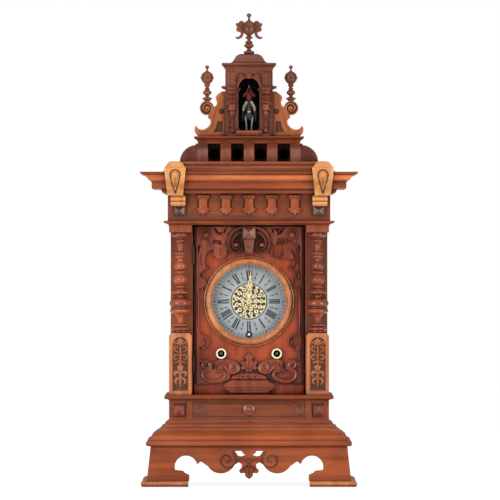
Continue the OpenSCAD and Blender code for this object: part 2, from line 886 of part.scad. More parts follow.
module corbels() {
    y = corbel_y;
    z = corbel_low;
    zt = z_crown + 22;
    side = concat([[frieze_y + 0.5, z], [frieze_y - 6.5, z], [frieze_y - 6.5, z + 20.4], [frieze_y - 13, z + 21],
                   [frieze_y - 13, z + 38], [frieze_y - 11, z + 39.5]],
                  [for (i = [0:8]) let (t = i / 8)
                      [frieze_y - 20 + (y + 20 - frieze_y) * (1 - cos(180 * t)) / 2, z + 41 + (zt - z - 75) * t]],
                  arc(y + 8, zt - 24, 8, 200, 150, 3), [[y + 3, zt - 12], [y + 1, zt - 6], [y + 4, zt]],
                  [[frieze_y + 0.5, zt]]);
    color(walnut_gold)
        both()
            difference() {
                union() {
                    intersection() {
                        board(y - 1, frieze_y - y + 2)
                            translate([corbel_x, z])
                                corbel_front();
                        across(corbel_x - 30, corbel_x + 30)
                            polygon(side);
                    }
                    pyramid(corbel_x, z + 10.2, 18, frieze_y - 6.4, 5);
                    intersection() {
                        board(y, frieze_y - y)
                            translate([corbel_x - 1, zt - 34])
                                polygon(concat(arc(0, 0, 9.5, -20, 200, 12), [[0, -36]]));
                        across(corbel_x - 30, corbel_x + 30)
                            polygon(grow(side, -2.5));
                    }
                }
                moulded(grow(cornice_profile(), seat_gap));
                moulded(grow(crown_profile(), seat_gap));
                moulded([[frieze_out, z - 1], [frieze_out, z_corn + 1]]);
            }
}

function crown_profile() = concat(
    [[12, z_crown], [12, z_crown + 2], [9, z_crown + 3]],
    hollow([8, z_crown + 4], [1, z_crown + crown_h - 8], 4),
    [[2, z_crown + crown_h - 7], [2, z_crown + crown_h - 4.5], [-1, z_crown + crown_h - 3.5], [-2, z_gallery]]);

module crown_board() {
    color(walnut)
        difference() {
            moulded(crown_profile());
            brick(-half + 40, half - 40, gallery_y + 14, gallery_back - 14, z_crown - 1, z_gallery + 1);
        }
}

// Gallery of quarter-round ribs under the turret plinth
gallery_half = 110;
gallery_y = front_y + 56;
gallery_back = gallery_y + 130;
rib_w = 22;
rib_t = 8;
rib_pitch = 48.9;

// Quarter-round rib over the origin, w wide, with a short tongue under the plinth, solid or as a strip
module rib(w, solid = false) {
    top = rib_r + 3 - 0.1;
    foot = solid ? [[6, 0]] : concat([[6, rib_r - rib_t]], arc(0, 0, rib_r - rib_t, 90, 180, 8));
    rotate([90, 0, 90])
        linear_extrude(w, center = true)
            polygon(concat(arc(0, 0, rib_r, 180, 95, 9), [[-3, top], [6, top]], foot));
}

module gallery_ribs() {
    color(walnut) {
        for (k = [-2:2])
            translate([k * rib_pitch, gallery_y, z_gallery])
                rib(rib_w);
        both()
            for (k = [0:2])
                translate([gallery_half, gallery_y + 10 + rib_w / 2 + k * rib_pitch, z_gallery])
                    rotate([0, 0, 90])
                        rib(rib_w, k == 0);
        brick(-gallery_half, gallery_half, gallery_back - 8, gallery_back, z_gallery, z_plinth - 0.1);
    }
}

module turret_plinth() {
    o = 2;
    p = concat([[-2 + o, z_plinth]], hollow([-2 + o, z_plinth + 1], [3 + o, z_plinth + 7], 4),
               [[4 + o, z_plinth + 8], [4 + o, z_turret - 3], [2 + o, z_turret - 1.5], [2 + o, z_turret]]);
    color(walnut)
        moulded(p, gallery_half, gallery_y, gallery_back);
}

// Turret with its niche, wings and side finials
turret_half = turret_w / 2;
turret_y = gallery_y + 6;
turret_back = turret_y + turret_d;
wing_y = turret_y + 6;
niche_half = niche_w / 2;
niche_z = z_turret + 13;
niche_top = niche_z + niche_side_h;
niche_wall = 10;

// Arched opening with a pair of cusps at the springing
module niche_opening() {
    polygon(concat([[-niche_half + 4, niche_z], [niche_half - 4, niche_z], [niche_half, niche_z + 5],
                    [niche_half, niche_top - 10], [niche_half - 4.5, niche_top - 3], [niche_half - 1, niche_top + 1]],
                   arc(0, niche_top + 2, niche_half, 0, 180, 16),
                   [[-niche_half + 1, niche_top + 1], [-niche_half + 4.5, niche_top - 3],
                    [-niche_half, niche_top - 10], [-niche_half, niche_z + 5]]));
}

impost_z = z_turret + 101;

module turret_body() {
    turret_pilasters();
    color(walnut)
        difference() {
            union() {
                brick(-turret_half, turret_half, turret_y, turret_back, z_turret, z_tcorn);
                moulded([[0, impost_z - 1], [6, impost_z + 1.5], [8.5, impost_z + 2.5], [8.5, impost_z + 5],
                         [0, impost_z + 6]], turret_half, turret_y + 4, turret_back - 0.5);
            }
            board(turret_y - 10, niche_wall + 11)
                niche_opening();
            brick(-turret_half + 7, turret_half - 7, turret_y + niche_wall, turret_back - 8,
                  niche_z, z_tcorn - 6);
        }
    color(walnut_gold)
        board(turret_y - 5, 5)
            polygon([[-4.2, niche_top + 23.5], [4.2, niche_top + 23.5], [5.5, z_tcorn - 5], [-5.5, z_tcorn - 5]]);
}

// Carved strips at the sides of the niche, each of stacked blocks and drops
module turret_pilasters() {
    x = (niche_half + turret_half) / 2 + 2.5;
    y = turret_y - 3;
    color(walnut_gold)
        both() {
            brick(x - 8.5, x + 8.5, y, turret_y, z_tcorn - 31, z_tcorn - 3);
            brick(x - 10, x + 10, y - 2, turret_y, z_turret + 66, z_turret + 72);
            for (k = [0:2])
                brick(x - 7 + k, x + 7 - k, y - 1, turret_y, z_turret + 72.3 + 8 * k, z_turret + 79 + 8 * k);
            pyramid(x, z_turret + 58.5, 12.5, turret_y, 6);
            board(y, 3)
                polygon([[x - 6, z_turret + 51], [x + 6, z_turret + 51], [x + 3.4, z_turret + 35], [x, z_turret + 30],
                         [x - 3.4, z_turret + 35]]);
            brick(x - 1.5, x + 1.5, y + 1, turret_y, z_turret + 15, z_turret + 30.3);
            rod_y(x, z_turret + 11, 4.4, y, turret_y);
            board(turret_y - 4, 4)
                polygon([[niche_half + 0.6, z_turret + 1], [-niche_half + 0.6, z_turret + 1], [-niche_half, niche_z - 4],
                         [niche_half, niche_z - 4]]);
        }
}

// Centre and radius of the wings' volutes, which carry the finials
volute = [89, z_turret + 60.2];
volute_r = 15.2;
finial_seat_z = volute[1] + volute_r - 0.4;

// Outline of the right wing, with its horn, volute and shoulder
module wing_outline() {
    b = turret_half + 0.3;
    e = gallery_half + 4.6;
    polygon(concat([[b, z_turret], [e - 8, z_turret], [e, z_turret + 9.6], [e, z_turret + 18.6],
                    [e - 3.2, z_turret + 23.6], [e - 5.8, z_turret + 18.6], [e - 10.6, z_turret + 14.8],
                    [e - 19, z_turret + 14.6], [e - 28, z_turret + 20.2], [e - 33, z_turret + 27.4],
                    [e - 33, z_turret + 35], [e - 28, z_turret + 39.2], [e - 27.6, z_turret + 43]],
                   arc(volute[0], volute[1], volute_r, -55, 185, 18),
                   [[b + 20.2, z_turret + 65.5], [b + 18.2, z_turret + 72], [b + 21, z_turret + 81],
                    [b + 17.8, z_turret + 87.8], [b + 7.4, z_turret + 95.7], [b, z_turret + 96]]));
}

module wings() {
    color(walnut_gold)
        both()
            difference() {
                board(wing_y, wing_t)
                    difference() {
                        wing_outline();
                        translate([80, finial_seat_z - seat_gap])
                            square([20, 5]);
                        difference() {
                            translate(volute)
                                circle(r = volute_r - 4.3);
                            translate(volute)
                                circle(r = volute_r - 7.3);
                            translate([volute[0] - 19, volute[1] - volute_r])
                                square([volute_r, 2 * volute_r]);
                        }
                    }
                board(wing_y - 1, 4)
                    polygon([[turret_half + 3, z_turret + 9], [turret_half + 24, z_turret + 9],
                             [turret_half + 17, z_turret + 31], [turret_half + 3, z_turret + 31]]);
                board(wing_y - 1, 3)
                    translate([turret_half + 8, z_turret + 54])
                        circle(r = 5.2);
            }
}

module side_finials() {
    p = concat([[9.2, 0], [9.7, 1.4], [8.6, 3.4], [4.6, 5]], bead(6, 20, 4.6, 8.2), [[6.6, 21.5], [6.6, 24.5],
               [4.2, 26.5], [5.6, 28.5], [4, 31.2]], arc(0, 45.6, 13.2, -70, -3, 7), [[13.9, 44.9], [13.9, 46.3]],
               arc(0, 45.6, 13.2, 3, 72, 7), [[3, 60.5], [2.8, 63.8]], arc(0, 68.2, 4.6, -60, 90, 8));
    color(walnut)
        both()
            turned(volute[0] - 0.6, wing_y + wing_t / 2, finial_seat_z, p);
}

module turret_roof() {
    p = concat([[0.3, z_tcorn], [0.3, z_tcorn + 3]], hollow([1, z_tcorn + 4], [5, z_tcorn + 11], 4),
               [[7.6, z_tcorn + 12.5], [7.6, z_tcorn + 16.5], [6, z_dome]],
               [[-12, z_dome]], hollow([-14, z_dome + 0.5], [-26, z_dome + 11], 5),
               [[-27, z_dome + 13], [-28.6, z_finial - 2], [-31, z_finial]]);
    color(walnut)
        moulded(p, turret_half, turret_y, turret_back - 8);
}

// Turned urn with two flat leafy handles
module top_finial() {
    p = concat([[11.8, 0], [11.8, 2.2], [10.2, 3.6], [5.6, 6]], [[5.5, 9]], bead(10, 26, 6, 10.7, 8), [[7.2, 27]],
               [[4, 29.4], [4.4, 31.4], [7.8, 32.4], [7.8, 34.4], [4.2, 35.6]], arc(0, 49, 12, -85, -8, 8),
               [[12.6, 55], [12.6, 57.4]], arc(0, 57, 11.8, 8, 66, 6), [[4.6, 69.8], [4.6, 71.4], [2.5, 72.6], [2.4, 77]],
               arc(0, 82, 5, -60, 90, 8));
    color(walnut)
        turned(0, finial_y, z_finial, p);
    color(walnut_gold)
        both()
            board(finial_y - 3, 6)
                difference() {
                    union() {
                        for (q = [[16.8, 66, 5.4], [22.4, 58.4, 5.6], [21.6, 49.4, 5.8], [15, 58, 6.2]])
                            translate([q[0], z_finial + q[1]])
                                circle(r = q[2], $fn = 32);
                        polygon([[12.4, z_finial + 48], [20, z_finial + 42], [28.5, z_finial + 33.5],
                                 [28, z_finial + 38], [22, z_finial + 50], [12.2, z_finial + 62]]);
                    }
                    translate([0, z_finial + 40])
                        square([12.4 + seat_gap / 4, 34]);
                }
}

finial_y = (turret_y + turret_back - 8) / 2;

// Mounted bugler on the niche floor; the saddle is at (0, figure_y)
figure_y = turret_y + niche_wall + 24;
shoulder_z = niche_z + 77.5;
axle_r = 1.5;

// Round bar between two points
module bar(a, b, r1, r2) {
    d = b - a;
    l = norm(d);
    translate(a)
        rotate([0, acos(d[2] / l), atan2(d[1], d[0])])
            cylinder(r1 = r1, r2 = r2, h = l);
}

module mounted_bugler() {
    y = figure_y;
    z = niche_z;
    barrel_p = concat([[0, -13]], arc(0, -3, 10, -80, 0, 6), [[9.4, 8]], arc(0, 20, 9.7, 0, 80, 6), [[0, 29.7]]);
    rider_p = [[0, 30], [6.4, 31], [8.6, 56], [9.1, 58], [7.3, 64], [8.4, 74], [7.4, 78.5], [3.4, 79.6], [3.2, 81.4],
               [4.5, 84], [4.7, 87], [5.3, 88], [4.4, 91.9], [1.3, 92.4], [0.7, 97], [0, 97]];
    color([0.2, 0.2, 0.22])
        difference() {
            union() {
                brick(-15, 15, y - 22, y + 26, z + seat_gap, z + 2);
                translate([0, y - 1, z + 32])
                    rotate([-90, 0, 0])
                        rotate_extrude()
                            polygon(barrel_p);
                bar([0, y - 9, z + 33], [0, y - 14.5, z + 51], 7, 4.4);
                bar([0, y - 13, z + 52.5], [0, y - 19.3, z + 39.2], 4.9, 3.3);
                for (s = [-1, 1]) {
                    for (q = [-10, 18])
                        bar([s * 5.5, y + q, z + 1], [s * 5.5, y + q, z + 30], 1.9, 3);
                    bar([s * 3.6, y + 2.3, z + 59.5], [s * 13, y - 6, z + 42], 4.9, 3.1);
                    bar([s * 13, y - 6, z + 44], [s * 14, y - 3, z + 21], 2.7, 2);
                }
                translate([0, y + 3.5, z])
                    rotate_extrude()
                        polygon(rider_p);
            }
            translate([-14, y + 3, shoulder_z])
                rotate([0, 90, 0])
                    cylinder(r = axle_r + run, h = 28);
        }
}

// Both arms and the bugle on one axle through the shoulders
module bugle_arms() {
    y = figure_y;
    z = shoulder_z;
    color(brass) {
        translate([-11.6, y + 3, z])
            rotate([0, 90, 0])
                cylinder(r = axle_r, h = 23.2);
        for (s = [-1, 1]) {
            translate([s * 11.4 - 1.2, y - 1, z - 1.5])
                rotate([0, 90, 0])
                    cylinder(r = 5.4, h = 2.4);
            bar([s * 11.4, y - 4, z - 3], [s * 2, y - 13, z + 5.4], 1.9, 1.5);
        }
        translate([0, y - 3.2, z + 6.4])
            rotate([90, 0, 0])
                rotate_extrude()
                    polygon([[0, 0], [1.25, 0], [1.05, 1.5], [1.4, 12], [2.4, 15.5], [4.6, 18], [4, 18.2],
                             [1.8, 16], [0, 14]]);
    }
}

// Movement planes from the dial backwards
dial_y = door_y + 5;
dial_t = 1.5;
plate_y0 = dial_y + dial_t + 5.5;
plate_y1 = plate_y0 + plate_t;
plate_y2 = plate_y1 + plate_gap;
plate_y3 = plate_y2 + plate_t;
great_n = 84;
centre_n = 9;
going_z = dial_z - (great_m * (great_n + centre_n) / 2);
plate_half = 105;
seat_z = z_bay + 44;
plate_z0 = seat_z + 9;
plate_z1 = dial_z + 92;
minute_r = 2;
centre_tip_r = 1.1;
pipe_r = 3.4;
hour_y = dial_y - 3;
minute_y = hour_y - 2.5;

// Outline of a wheel with n teeth of module m, one tooth centred at angle a
module toothed(n, m, a) {
    p = 360 / n;
    rt = m * n / 2 + 0.62 * m;
    rr = m * n / 2 - 1.15 * m;
    polygon([for (i = [0:n - 1]) let (c = a + i * p) each [
        [rr * cos(c - 0.28 * p), rr * sin(c - 0.28 * p)], [rt * cos(c - 0.1 * p), rt * sin(c - 0.1 * p)],
        [rt * cos(c + 0.1 * p), rt * sin(c + 0.1 * p)], [rr * cos(c + 0.28 * p), rr * sin(c + 0.28 * p)]]]);
}

// Wheel with five arms, standing on an arbor
module train_wheel(x, z, n, m, a, y0, t, hub) {
    r = m * n / 2;
    board(y0, t)
        translate([x, z])
            difference() {
                toothed(n, m, a);
                difference() {
                    circle(r = r * 0.84);
                    circle(r = hub + 2);
                    for (k = [0:4])
                        rotate(72 * k)
                            translate([0, -r * 0.06])
                                square([r, r * 0.12]);
                }
            }
}

// Lantern pinion: two discs joined by n round rods, its first gap at angle a
module lantern(x, z, n, m, a, y0, y1) {
    r = m * n / 2;
    rod_y(x, z, r + m * 0.7, y0, y0 + 1.2);
    rod_y(x, z, r + m * 0.7, y1 - 1.2, y1);
    for (i = [0:n - 1])
        rod_y(x + r * cos(a + (i + 0.5) * 360 / n), z + r * sin(a + (i + 0.5) * 360 / n), m * 0.42, y0 + 1, y1 - 1);
}

third_m = 0.75;
third_n = 80;
third_pin_n = 8;
third_a = 120;
third_d = third_m * (third_n + third_pin_n) / 2;
third_x = third_d * cos(third_a);
third_z = dial_z + third_d * sin(third_a);
escape_m = 0.6;
escape_n = 70;
escape_pin_n = 7;
escape_d = escape_m * (escape_n + escape_pin_n) / 2;
escape_a = acos(-third_x / escape_d);
escape_z = third_z + escape_d * sin(escape_a);
escape_r = 18;
anchor_z = escape_z + 27;
motion_d = 19.2;
motion_z = dial_z - motion_d;
cannon_n = 12;
motion_n = 36;
motion_m = 2 * motion_d / (cannon_n + motion_n);
motion_pin_n = 10;
hour_n = 40;
hour_m = 2 * motion_d / (motion_pin_n + hour_n);
barrel_r = 26;
barrel_y0 = plate_y1 + 19;
barrel_y1 = plate_y2 - 12;
music_n = 72;
music_m = 1;
cylinder_z = wind_z + music_n * music_m;
cylinder_r = 24;

module dial() {
    color(pewter)
        difference() {
            union() {
                rod_y(0, dial_z, dial_r, dial_y, dial_y + dial_t);
                rod_y(0, dial_z, 36.6, dial_y - 0.4, dial_y);
                rod_y(0, dial_z - 69.5, 6.2, dial_y - 1.6, dial_y);
                for (a = [30, 150, 270])
                    rod_y(60 * cos(a + 60), dial_z + 60 * sin(a + 60), 2.4, dial_y, plate_y0 - 0.05);
            }
            rod_y(0, dial_z, pipe_r + run, dial_y - 1, dial_y + dial_t + 1);
            rod_y(0, going_z, arbor_r + run, dial_y - 2, dial_y + dial_t + 1);
        }
}

// Pierced hand outline: a boss, a chain of open rings and a pointed tip
module hand(l, w, bore) {
    n = 5;
    difference() {
        union() {
            circle(r = w * 1.25);
            translate([-w * 0.28, 0])
                square([w * 0.56, l - 6]);
            for (k = [1:n])
                translate([0, l * (0.12 + 0.13 * k)])
                    circle(r = w * (1.15 - 0.13 * k), $fn = 24);
            polygon([[-w * 0.45, l - 9], [w * 0.45, l - 9], [0, l]]);
            polygon([[-w * 0.7, -w * 2.6], [w * 0.7, -w * 2.6], [w * 0.3, 0], [-w * 0.3, 0]]);
        }
        circle(r = bore);
        for (k = [1:n])
            for (s = [-1, 1])
                translate([s * w * (0.62 - 0.06 * k), l * (0.12 + 0.13 * k)])
                    circle(r = w * 0.2, $fn = 16);
    }
}

module hour_hand() {
    color(gilt)
        translate([0, 0, dial_z])
            board(hour_y, hand_t)
                hand(hour_len, 5.2, pipe_r);
}

// Minute hand on its cannon pipe, which turns by friction on the centre arbor
module minute_hand() {
    color(gilt)
        difference() {
            union() {
                translate([0, 0, dial_z])
                    board(minute_y, hand_t)
                        rotate(-3.3)
                            hand(minute_len, 4.2, centre_tip_r);
                rod_y(0, dial_z, minute_r, minute_y - 1, plate_y0 - 0.4);
                board(dial_y + dial_t + 3, 2)
                    translate([0, dial_z])
                        toothed(cannon_n, motion_m, 270);
            }
            rod_y(0, dial_z, centre_tip_r + run, minute_y - 2, plate_y0);
        }
}

module movement_plates() {
    color(brass)
        difference() {
            for (y = [plate_y0, plate_y2])
                board(y, plate_t)
                    difference() {
                        translate([-plate_half, plate_z0 + seat_gap])
                            square([2 * plate_half, plate_z1 - plate_z0]);
                        translate([plate_half, plate_z1])
                            circle(r = 40);
                        translate([-plate_half, plate_z1])
                            circle(r = 40);
                    }
            train_holes();
        }
    color(steel)
        for (s = [-1, 1]) {
            rod_y(s * (plate_half - 8), plate_z0 + 10, 5, plate_y1, plate_y2);
            rod_y(s * (plate_half - 48), plate_z1 - 8, 5, plate_y1, plate_y2);
        }
}

// Holes for every arbor of the trains, through both plates
module train_holes() {
    for (q = [[0, going_z, arbor_r], [-wind_x, wind_z, arbor_r], [wind_x, wind_z, arbor_r],
              [0, dial_z, pivot_r], [third_x, third_z, pivot_r], [0, escape_z, pivot_r], [0, anchor_z, pivot_r],
              [0, motion_z, pivot_r], [wind_x, cylinder_z, pivot_r * 1.6], [hammer_x, hammer_z, pivot_r]])
        rod_y(q[0], q[1], q[2] + run, plate_y0 - 1, plate_y3 + 1);
}

// Winding arbor from its front end to just behind the back plate
module winding_arbor(x, z, y0) {
    color(steel)
        difference() {
            rod_y(x, z, arbor_r, y0, plate_y3 + 4);
            difference() {
                rod_y(x, z, arbor_r + 1, y0 - 1, y0 + 9);
                brick(x - 2.3, x + 2.3, y0 - 2, y0 + 10, z - 2.3, z + 2.3);
            }
        }
}

module going_arbor() {
    winding_arbor(0, going_z, dial_y - 5);
}

module strike_arbor() {
    winding_arbor(-wind_x, wind_z, door_y + 2);
}

module music_arbor() {
    winding_arbor(wind_x, wind_z, door_y + 2);
}

// Spring barrel with its great wheel, free on the winding arbor
module barrel(x, z, n, m, a, wy) {
    color(brass)
        difference() {
            union() {
                train_wheel(x, z, n, m, a, wy, 3, arbor_r + 2);
                rod_y(x, z, arbor_r + 3, wy, barrel_y1);
                rod_y(x, z, barrel_r, barrel_y0, barrel_y1);
            }
            rod_y(x, z, arbor_r + run, wy - 1, barrel_y1 + 1);
        }
}

module going_wheel() {
    barrel(0, going_z, great_n, great_m, 90, plate_y1 + 8);
}

module strike_wheel() {
    barrel(-wind_x, wind_z, music_n, music_m, 90, plate_y1 + 15);
}

module music_wheel() {
    barrel(wind_x, wind_z, music_n, music_m, 90, plate_y1 + 15);
}

module centre_wheel() {
    color(brass) {
        rod_y(0, dial_z, centre_tip_r, minute_y - 1.8, plate_y0 - 0.2);
        rod_y(0, dial_z, pivot_r, plate_y0 - 0.2, plate_y3 + 2);
        lantern(0, dial_z, centre_n, great_m, 270, plate_y1 + 5, plate_y1 + 14);
        train_wheel(0, dial_z, third_n, third_m, third_a, plate_y1 + 20, 2, pivot_r);
    }
}

module hour_wheel() {
    color(brass)
        difference() {
            union() {
                rod_y(0, dial_z, pipe_r, hour_y, dial_y + dial_t + 0.3);
                board(dial_y + dial_t + 0.3, 2)
                    translate([0, dial_z])
                        toothed(hour_n, hour_m, 270 + 180 / hour_n);
            }
            rod_y(0, dial_z, minute_r + run, hour_y - 1, dial_y + dial_t + 4);
        }
}

module motion_wheel() {
    color(brass) {
        rod_y(0, motion_z, pivot_r, dial_y + dial_t + 0.5, plate_y1 - 0.5);
        board(dial_y + dial_t + 3, 2)
            translate([0, motion_z])
                toothed(motion_n, motion_m, 90 + 180 / motion_n);
        board(dial_y + dial_t + 0.3, 2.8)
            translate([0, motion_z])
                toothed(motion_pin_n, hour_m, 90);
    }
}

module third_wheel() {
    color(brass) {
        rod_y(third_x, third_z, pivot_r, plate_y0 + 0.3, plate_y3 + 2);
        lantern(third_x, third_z, third_pin_n, third_m, third_a + 180, plate_y1 + 17, plate_y1 + 25);
        train_wheel(third_x, third_z, escape_n, escape_m, escape_a, plate_y1 + 32, 2, pivot_r);
    }
}

module escape_wheel() {
    n = 30;
    color(brass) {
        rod_y(0, escape_z, pivot_r, plate_y0 + 0.3, plate_y3 + 2);
        lantern(0, escape_z, escape_pin_n, escape_m, escape_a + 180, plate_y1 + 29, plate_y1 + 37);
        board(plate_y1 + 44, 1.6)
            translate([0, escape_z])
                polygon([for (i = [0:n - 1]) let (a = 360 * i / n) each [
                    [(escape_r - 4) * cos(a), (escape_r - 4) * sin(a)], [escape_r * cos(a + 3), escape_r * sin(a + 3)],
                    [escape_r * cos(a + 4), escape_r * sin(a + 4)],
                    [(escape_r - 4) * cos(a + 6), (escape_r - 4) * sin(a + 6)]]]);
    }
}

// Anchor, crutch arbor, pendulum rod and bob swinging as one
module pendulum() {
    yp = plate_y3 + 10;
    color(steel) {
        rod_y(0, anchor_z, pivot_r, plate_y0 + 0.3, yp + 2);
        board(plate_y1 + 43.5, 2.6)
            difference() {
                translate([0, escape_z])
                    difference() {
                        circle(r = escape_r + 6);
                        circle(r = escape_r + 1.6);
                        translate([-60, -60])
                            square([120, 60 + 6]);
                    }
                circle(r = 0.1);
            }
        board(plate_y1 + 43.5, 2.6)
            translate([-3, escape_z + escape_r + 3])
                square([6, anchor_z - escape_z - escape_r]);
        brick(-1.6, 1.6, yp - 1, yp + 1, anchor_z - pendulum_l + bob_r - 2, anchor_z + 3);
    }
    color(brass)
        translate([0, yp + 3, anchor_z - pendulum_l])
            rotate([90, 0, 0])
                rotate_extrude()
                    polygon([[0, 0], [bob_r - 3, 0], [bob_r, 2.4], [bob_r, 3.6], [bob_r - 3, 6], [0, 6]]);
}

// Pinned wooden cylinder behind the plates with its driving wheel between them
module music_cylinder() {
    y0 = plate_y3 + 7;
    color(walnut_dark) {
        rod_y(wind_x, cylinder_z, cylinder_r, y0, y0 + 62);
        rod_y(wind_x, cylinder_z, pivot_r * 1.6, plate_y0 + 0.3, y0 + 66);
        train_wheel(wind_x, cylinder_z, music_n, music_m, 270 + 180 / music_n, plate_y1 + 15, 3, pivot_r * 1.6);
        for (i = [0:29])
            translate([wind_x, y0 + 6 + 10 * (i % 6), cylinder_z])
                rotate([0, 47 * i, 0])
                    cylinder(r = 0.7, h = cylinder_r + 1.6, $fn = 16);
    }
}

// Pair of bellows on the case floor: bottom boards, folded leather and the rocker's posts
rock_z = z_bay + 38;
bellows_y0 = plate_y3 + 28;
bellows_y1 = back_y - board_t - 11;
bellows_out = 112;
bellows_in = 14;

module bellows_base() {
    color(walnut_dark) {
        both()
            brick(bellows_in, bellows_out, bellows_y0, bellows_y1, z_bay + seat_gap, z_bay + 7);
        for (y = [bellows_y0 - 6, bellows_y1 + 2])
            difference() {
                brick(-7, 7, y, y + 4, z_bay + seat_gap, rock_z + 6);
                rod_y(0, rock_z, 2 + run, y - 1, y + 5);
            }
    }
    color([0.5, 0.3, 0.2])
        both()
            board(bellows_y0 + 3, bellows_y1 - bellows_y0 - 6)
                polygon([[18, z_bay + 7], [108, z_bay + 7], [104, z_bay + 10], [108, z_bay + 13], [104, z_bay + 16],
                         [106, z_bay + 19], [22, z_bay + 19], [18, z_bay + 16], [22, z_bay + 13], [18, z_bay + 10]]);
}

module bellows_top() {
    color(walnut_dark) {
        brick(-bellows_out, bellows_out, bellows_y0, bellows_y1, rock_z - 9, rock_z - 3);
        brick(-8, 8, bellows_y0 + 4, bellows_y1 - 4, rock_z - 3, rock_z + 4);
        rod_y(0, rock_z, 2, bellows_y0 - 5.8, bellows_y1 + 5.8);
    }
}

chest_y = gallery_y + 96;
horn_z = z_gallery + 16;
trunk_w = 14;

module wind_chest() {
    x0 = -gallery_half + 4;
    color(walnut_dark) {
        brick(x0, -x0, chest_y, chest_y + 20, z_gallery + 3, z_gallery + rib_r - rib_t - 1);
        brick(-x0 - trunk_w, -x0, chest_y, chest_y + 16, z_bay + seat_gap, z_gallery + 3);
        brick(-x0 - trunk_w, -x0, chest_y + 16, bellows_y0 - seat_gap, z_bay + seat_gap, z_bay + 6);
    }
}

// Brass horns of the wind music, their bells behind the gaps of the gallery
module trumpets() {
    l = chest_y - gallery_y - 4;
    color(brass)
        for (k = [-1.5:1:1.5])
            translate([k * rib_pitch, chest_y, horn_z])
                rotate([90, 0, 0])
                    rotate_extrude()
                        polygon(concat([[2.2, 0], [3.6, 0]], [for (t = [0:7]) [3.6 + 9.4 * pow(t / 7, 3), l * t / 7]],
                                       [for (t = [7:-1:0]) [2.6 + 9.4 * pow(t / 7, 3), l * t / 7]]));
}

// Flat coiled gong on a boss of the left side board
gong_y = back_y - board_t - 49;
gong_z = wind_z + 56;
gong_x = -bay_half + board_t;
gong_turns = 3;

module gong() {
    n = 72;
    function spiral(o) = [for (i = [0:n]) let (a = 360 * gong_turns * i / n, r = 8 + 36 * i / n + o)
        [r * cos(a), r * sin(a)]];
    inner = spiral(-1.5);
    color(steel) {
        across(gong_x + 6, gong_x + 9)
            translate([gong_y, gong_z])
                polygon(concat(spiral(1.5), [for (i = [n:-1:0]) inner[i]]));
        translate([gong_x + seat_gap, gong_y, gong_z])
            rotate([0, 90, 0])
                cylinder(r = 7, h = 9);
    }
}

hammer_x = -plate_half + 12;
hammer_z = wind_z + 26;

module strike_hammer() {
    y = plate_y3 + 12;
    x = gong_x + 20;
    color(steel) {
        rod_y(hammer_x, hammer_z, pivot_r, plate_y0 + 0.3, y + 2);
        rod_y(hammer_x, hammer_z, 4, y - 4, y + 4);
        bar([hammer_x, y, hammer_z], [x, y, gong_z], 1.2, 1.2);
        translate([x - 6, y, gong_z])
            rotate([0, 90, 0])
                cylinder(r = 5, h = 9);
    }
}

foot_pads();
apron();
base_moulding();
drawer_case();
drawer_box();
drawer_front();
drawer_knob();
shelf_board();
pedestals();
pedestal_carvings();
columns();
pilaster_boards();
side_boards();
back_frame();
back_door();
back_latch();
front_door();
door_carving();
crest();
bezel();
winding_rings();
door_hinges();
architrave();
frieze();
pendants();
cornice();
corbels();
crown_board();
gallery_ribs();
turret_plinth();
wings();
side_finials();
turret_body();
turret_roof();
top_finial();
mounted_bugler();
bugle_arms();
dial();
hour_hand();
minute_hand();
movement_plates();
going_arbor();
strike_arbor();
music_arbor();
going_wheel();
centre_wheel();
hour_wheel();
motion_wheel();
third_wheel();
escape_wheel();
pendulum();
music_wheel();
music_cylinder();
bellows_base();
bellows_top();
wind_chest();
trumpets();
strike_wheel();
strike_hammer();
gong();
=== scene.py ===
"""Looks of a carved walnut mantel clock with a bugler automaton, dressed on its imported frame.

Lengths are in millimetres until a mesh is made. The dial faces -Y and +Z is up.
"""

import json
import logging
import math
from collections.abc import Callable, Iterable, Sequence
from dataclasses import dataclass
from enum import Enum

import bmesh
import bpy
from mathutils import Matrix, Vector

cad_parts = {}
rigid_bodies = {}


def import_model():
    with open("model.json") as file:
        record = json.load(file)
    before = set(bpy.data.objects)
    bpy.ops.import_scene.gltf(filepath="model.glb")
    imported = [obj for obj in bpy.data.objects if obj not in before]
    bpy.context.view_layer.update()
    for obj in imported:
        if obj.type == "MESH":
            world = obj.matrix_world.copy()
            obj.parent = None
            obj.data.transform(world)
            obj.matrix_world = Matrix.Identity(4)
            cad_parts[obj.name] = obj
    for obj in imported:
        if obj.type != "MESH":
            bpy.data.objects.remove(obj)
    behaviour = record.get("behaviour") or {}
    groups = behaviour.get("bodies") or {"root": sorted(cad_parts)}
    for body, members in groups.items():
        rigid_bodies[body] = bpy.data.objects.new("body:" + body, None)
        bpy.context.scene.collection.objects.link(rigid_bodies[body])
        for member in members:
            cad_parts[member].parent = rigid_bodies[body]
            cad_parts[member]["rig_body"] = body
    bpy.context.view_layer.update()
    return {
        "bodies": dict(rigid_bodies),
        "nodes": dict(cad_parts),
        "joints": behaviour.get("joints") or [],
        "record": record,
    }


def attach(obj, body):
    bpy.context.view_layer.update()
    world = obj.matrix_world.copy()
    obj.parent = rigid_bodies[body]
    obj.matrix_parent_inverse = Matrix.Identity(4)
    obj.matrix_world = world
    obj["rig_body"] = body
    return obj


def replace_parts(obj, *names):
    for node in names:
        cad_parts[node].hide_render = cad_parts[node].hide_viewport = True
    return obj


LOG = logging.getLogger("mantel_clock")
MM = 0.001
TURN = 2 * math.pi

Point = tuple[float, float]
Point3 = tuple[float, float, float]
Colour = tuple[float, float, float]
Profile = tuple[Point, ...]
Outline = tuple[tuple[float, ...], ...]


# Levels and planes of the frame


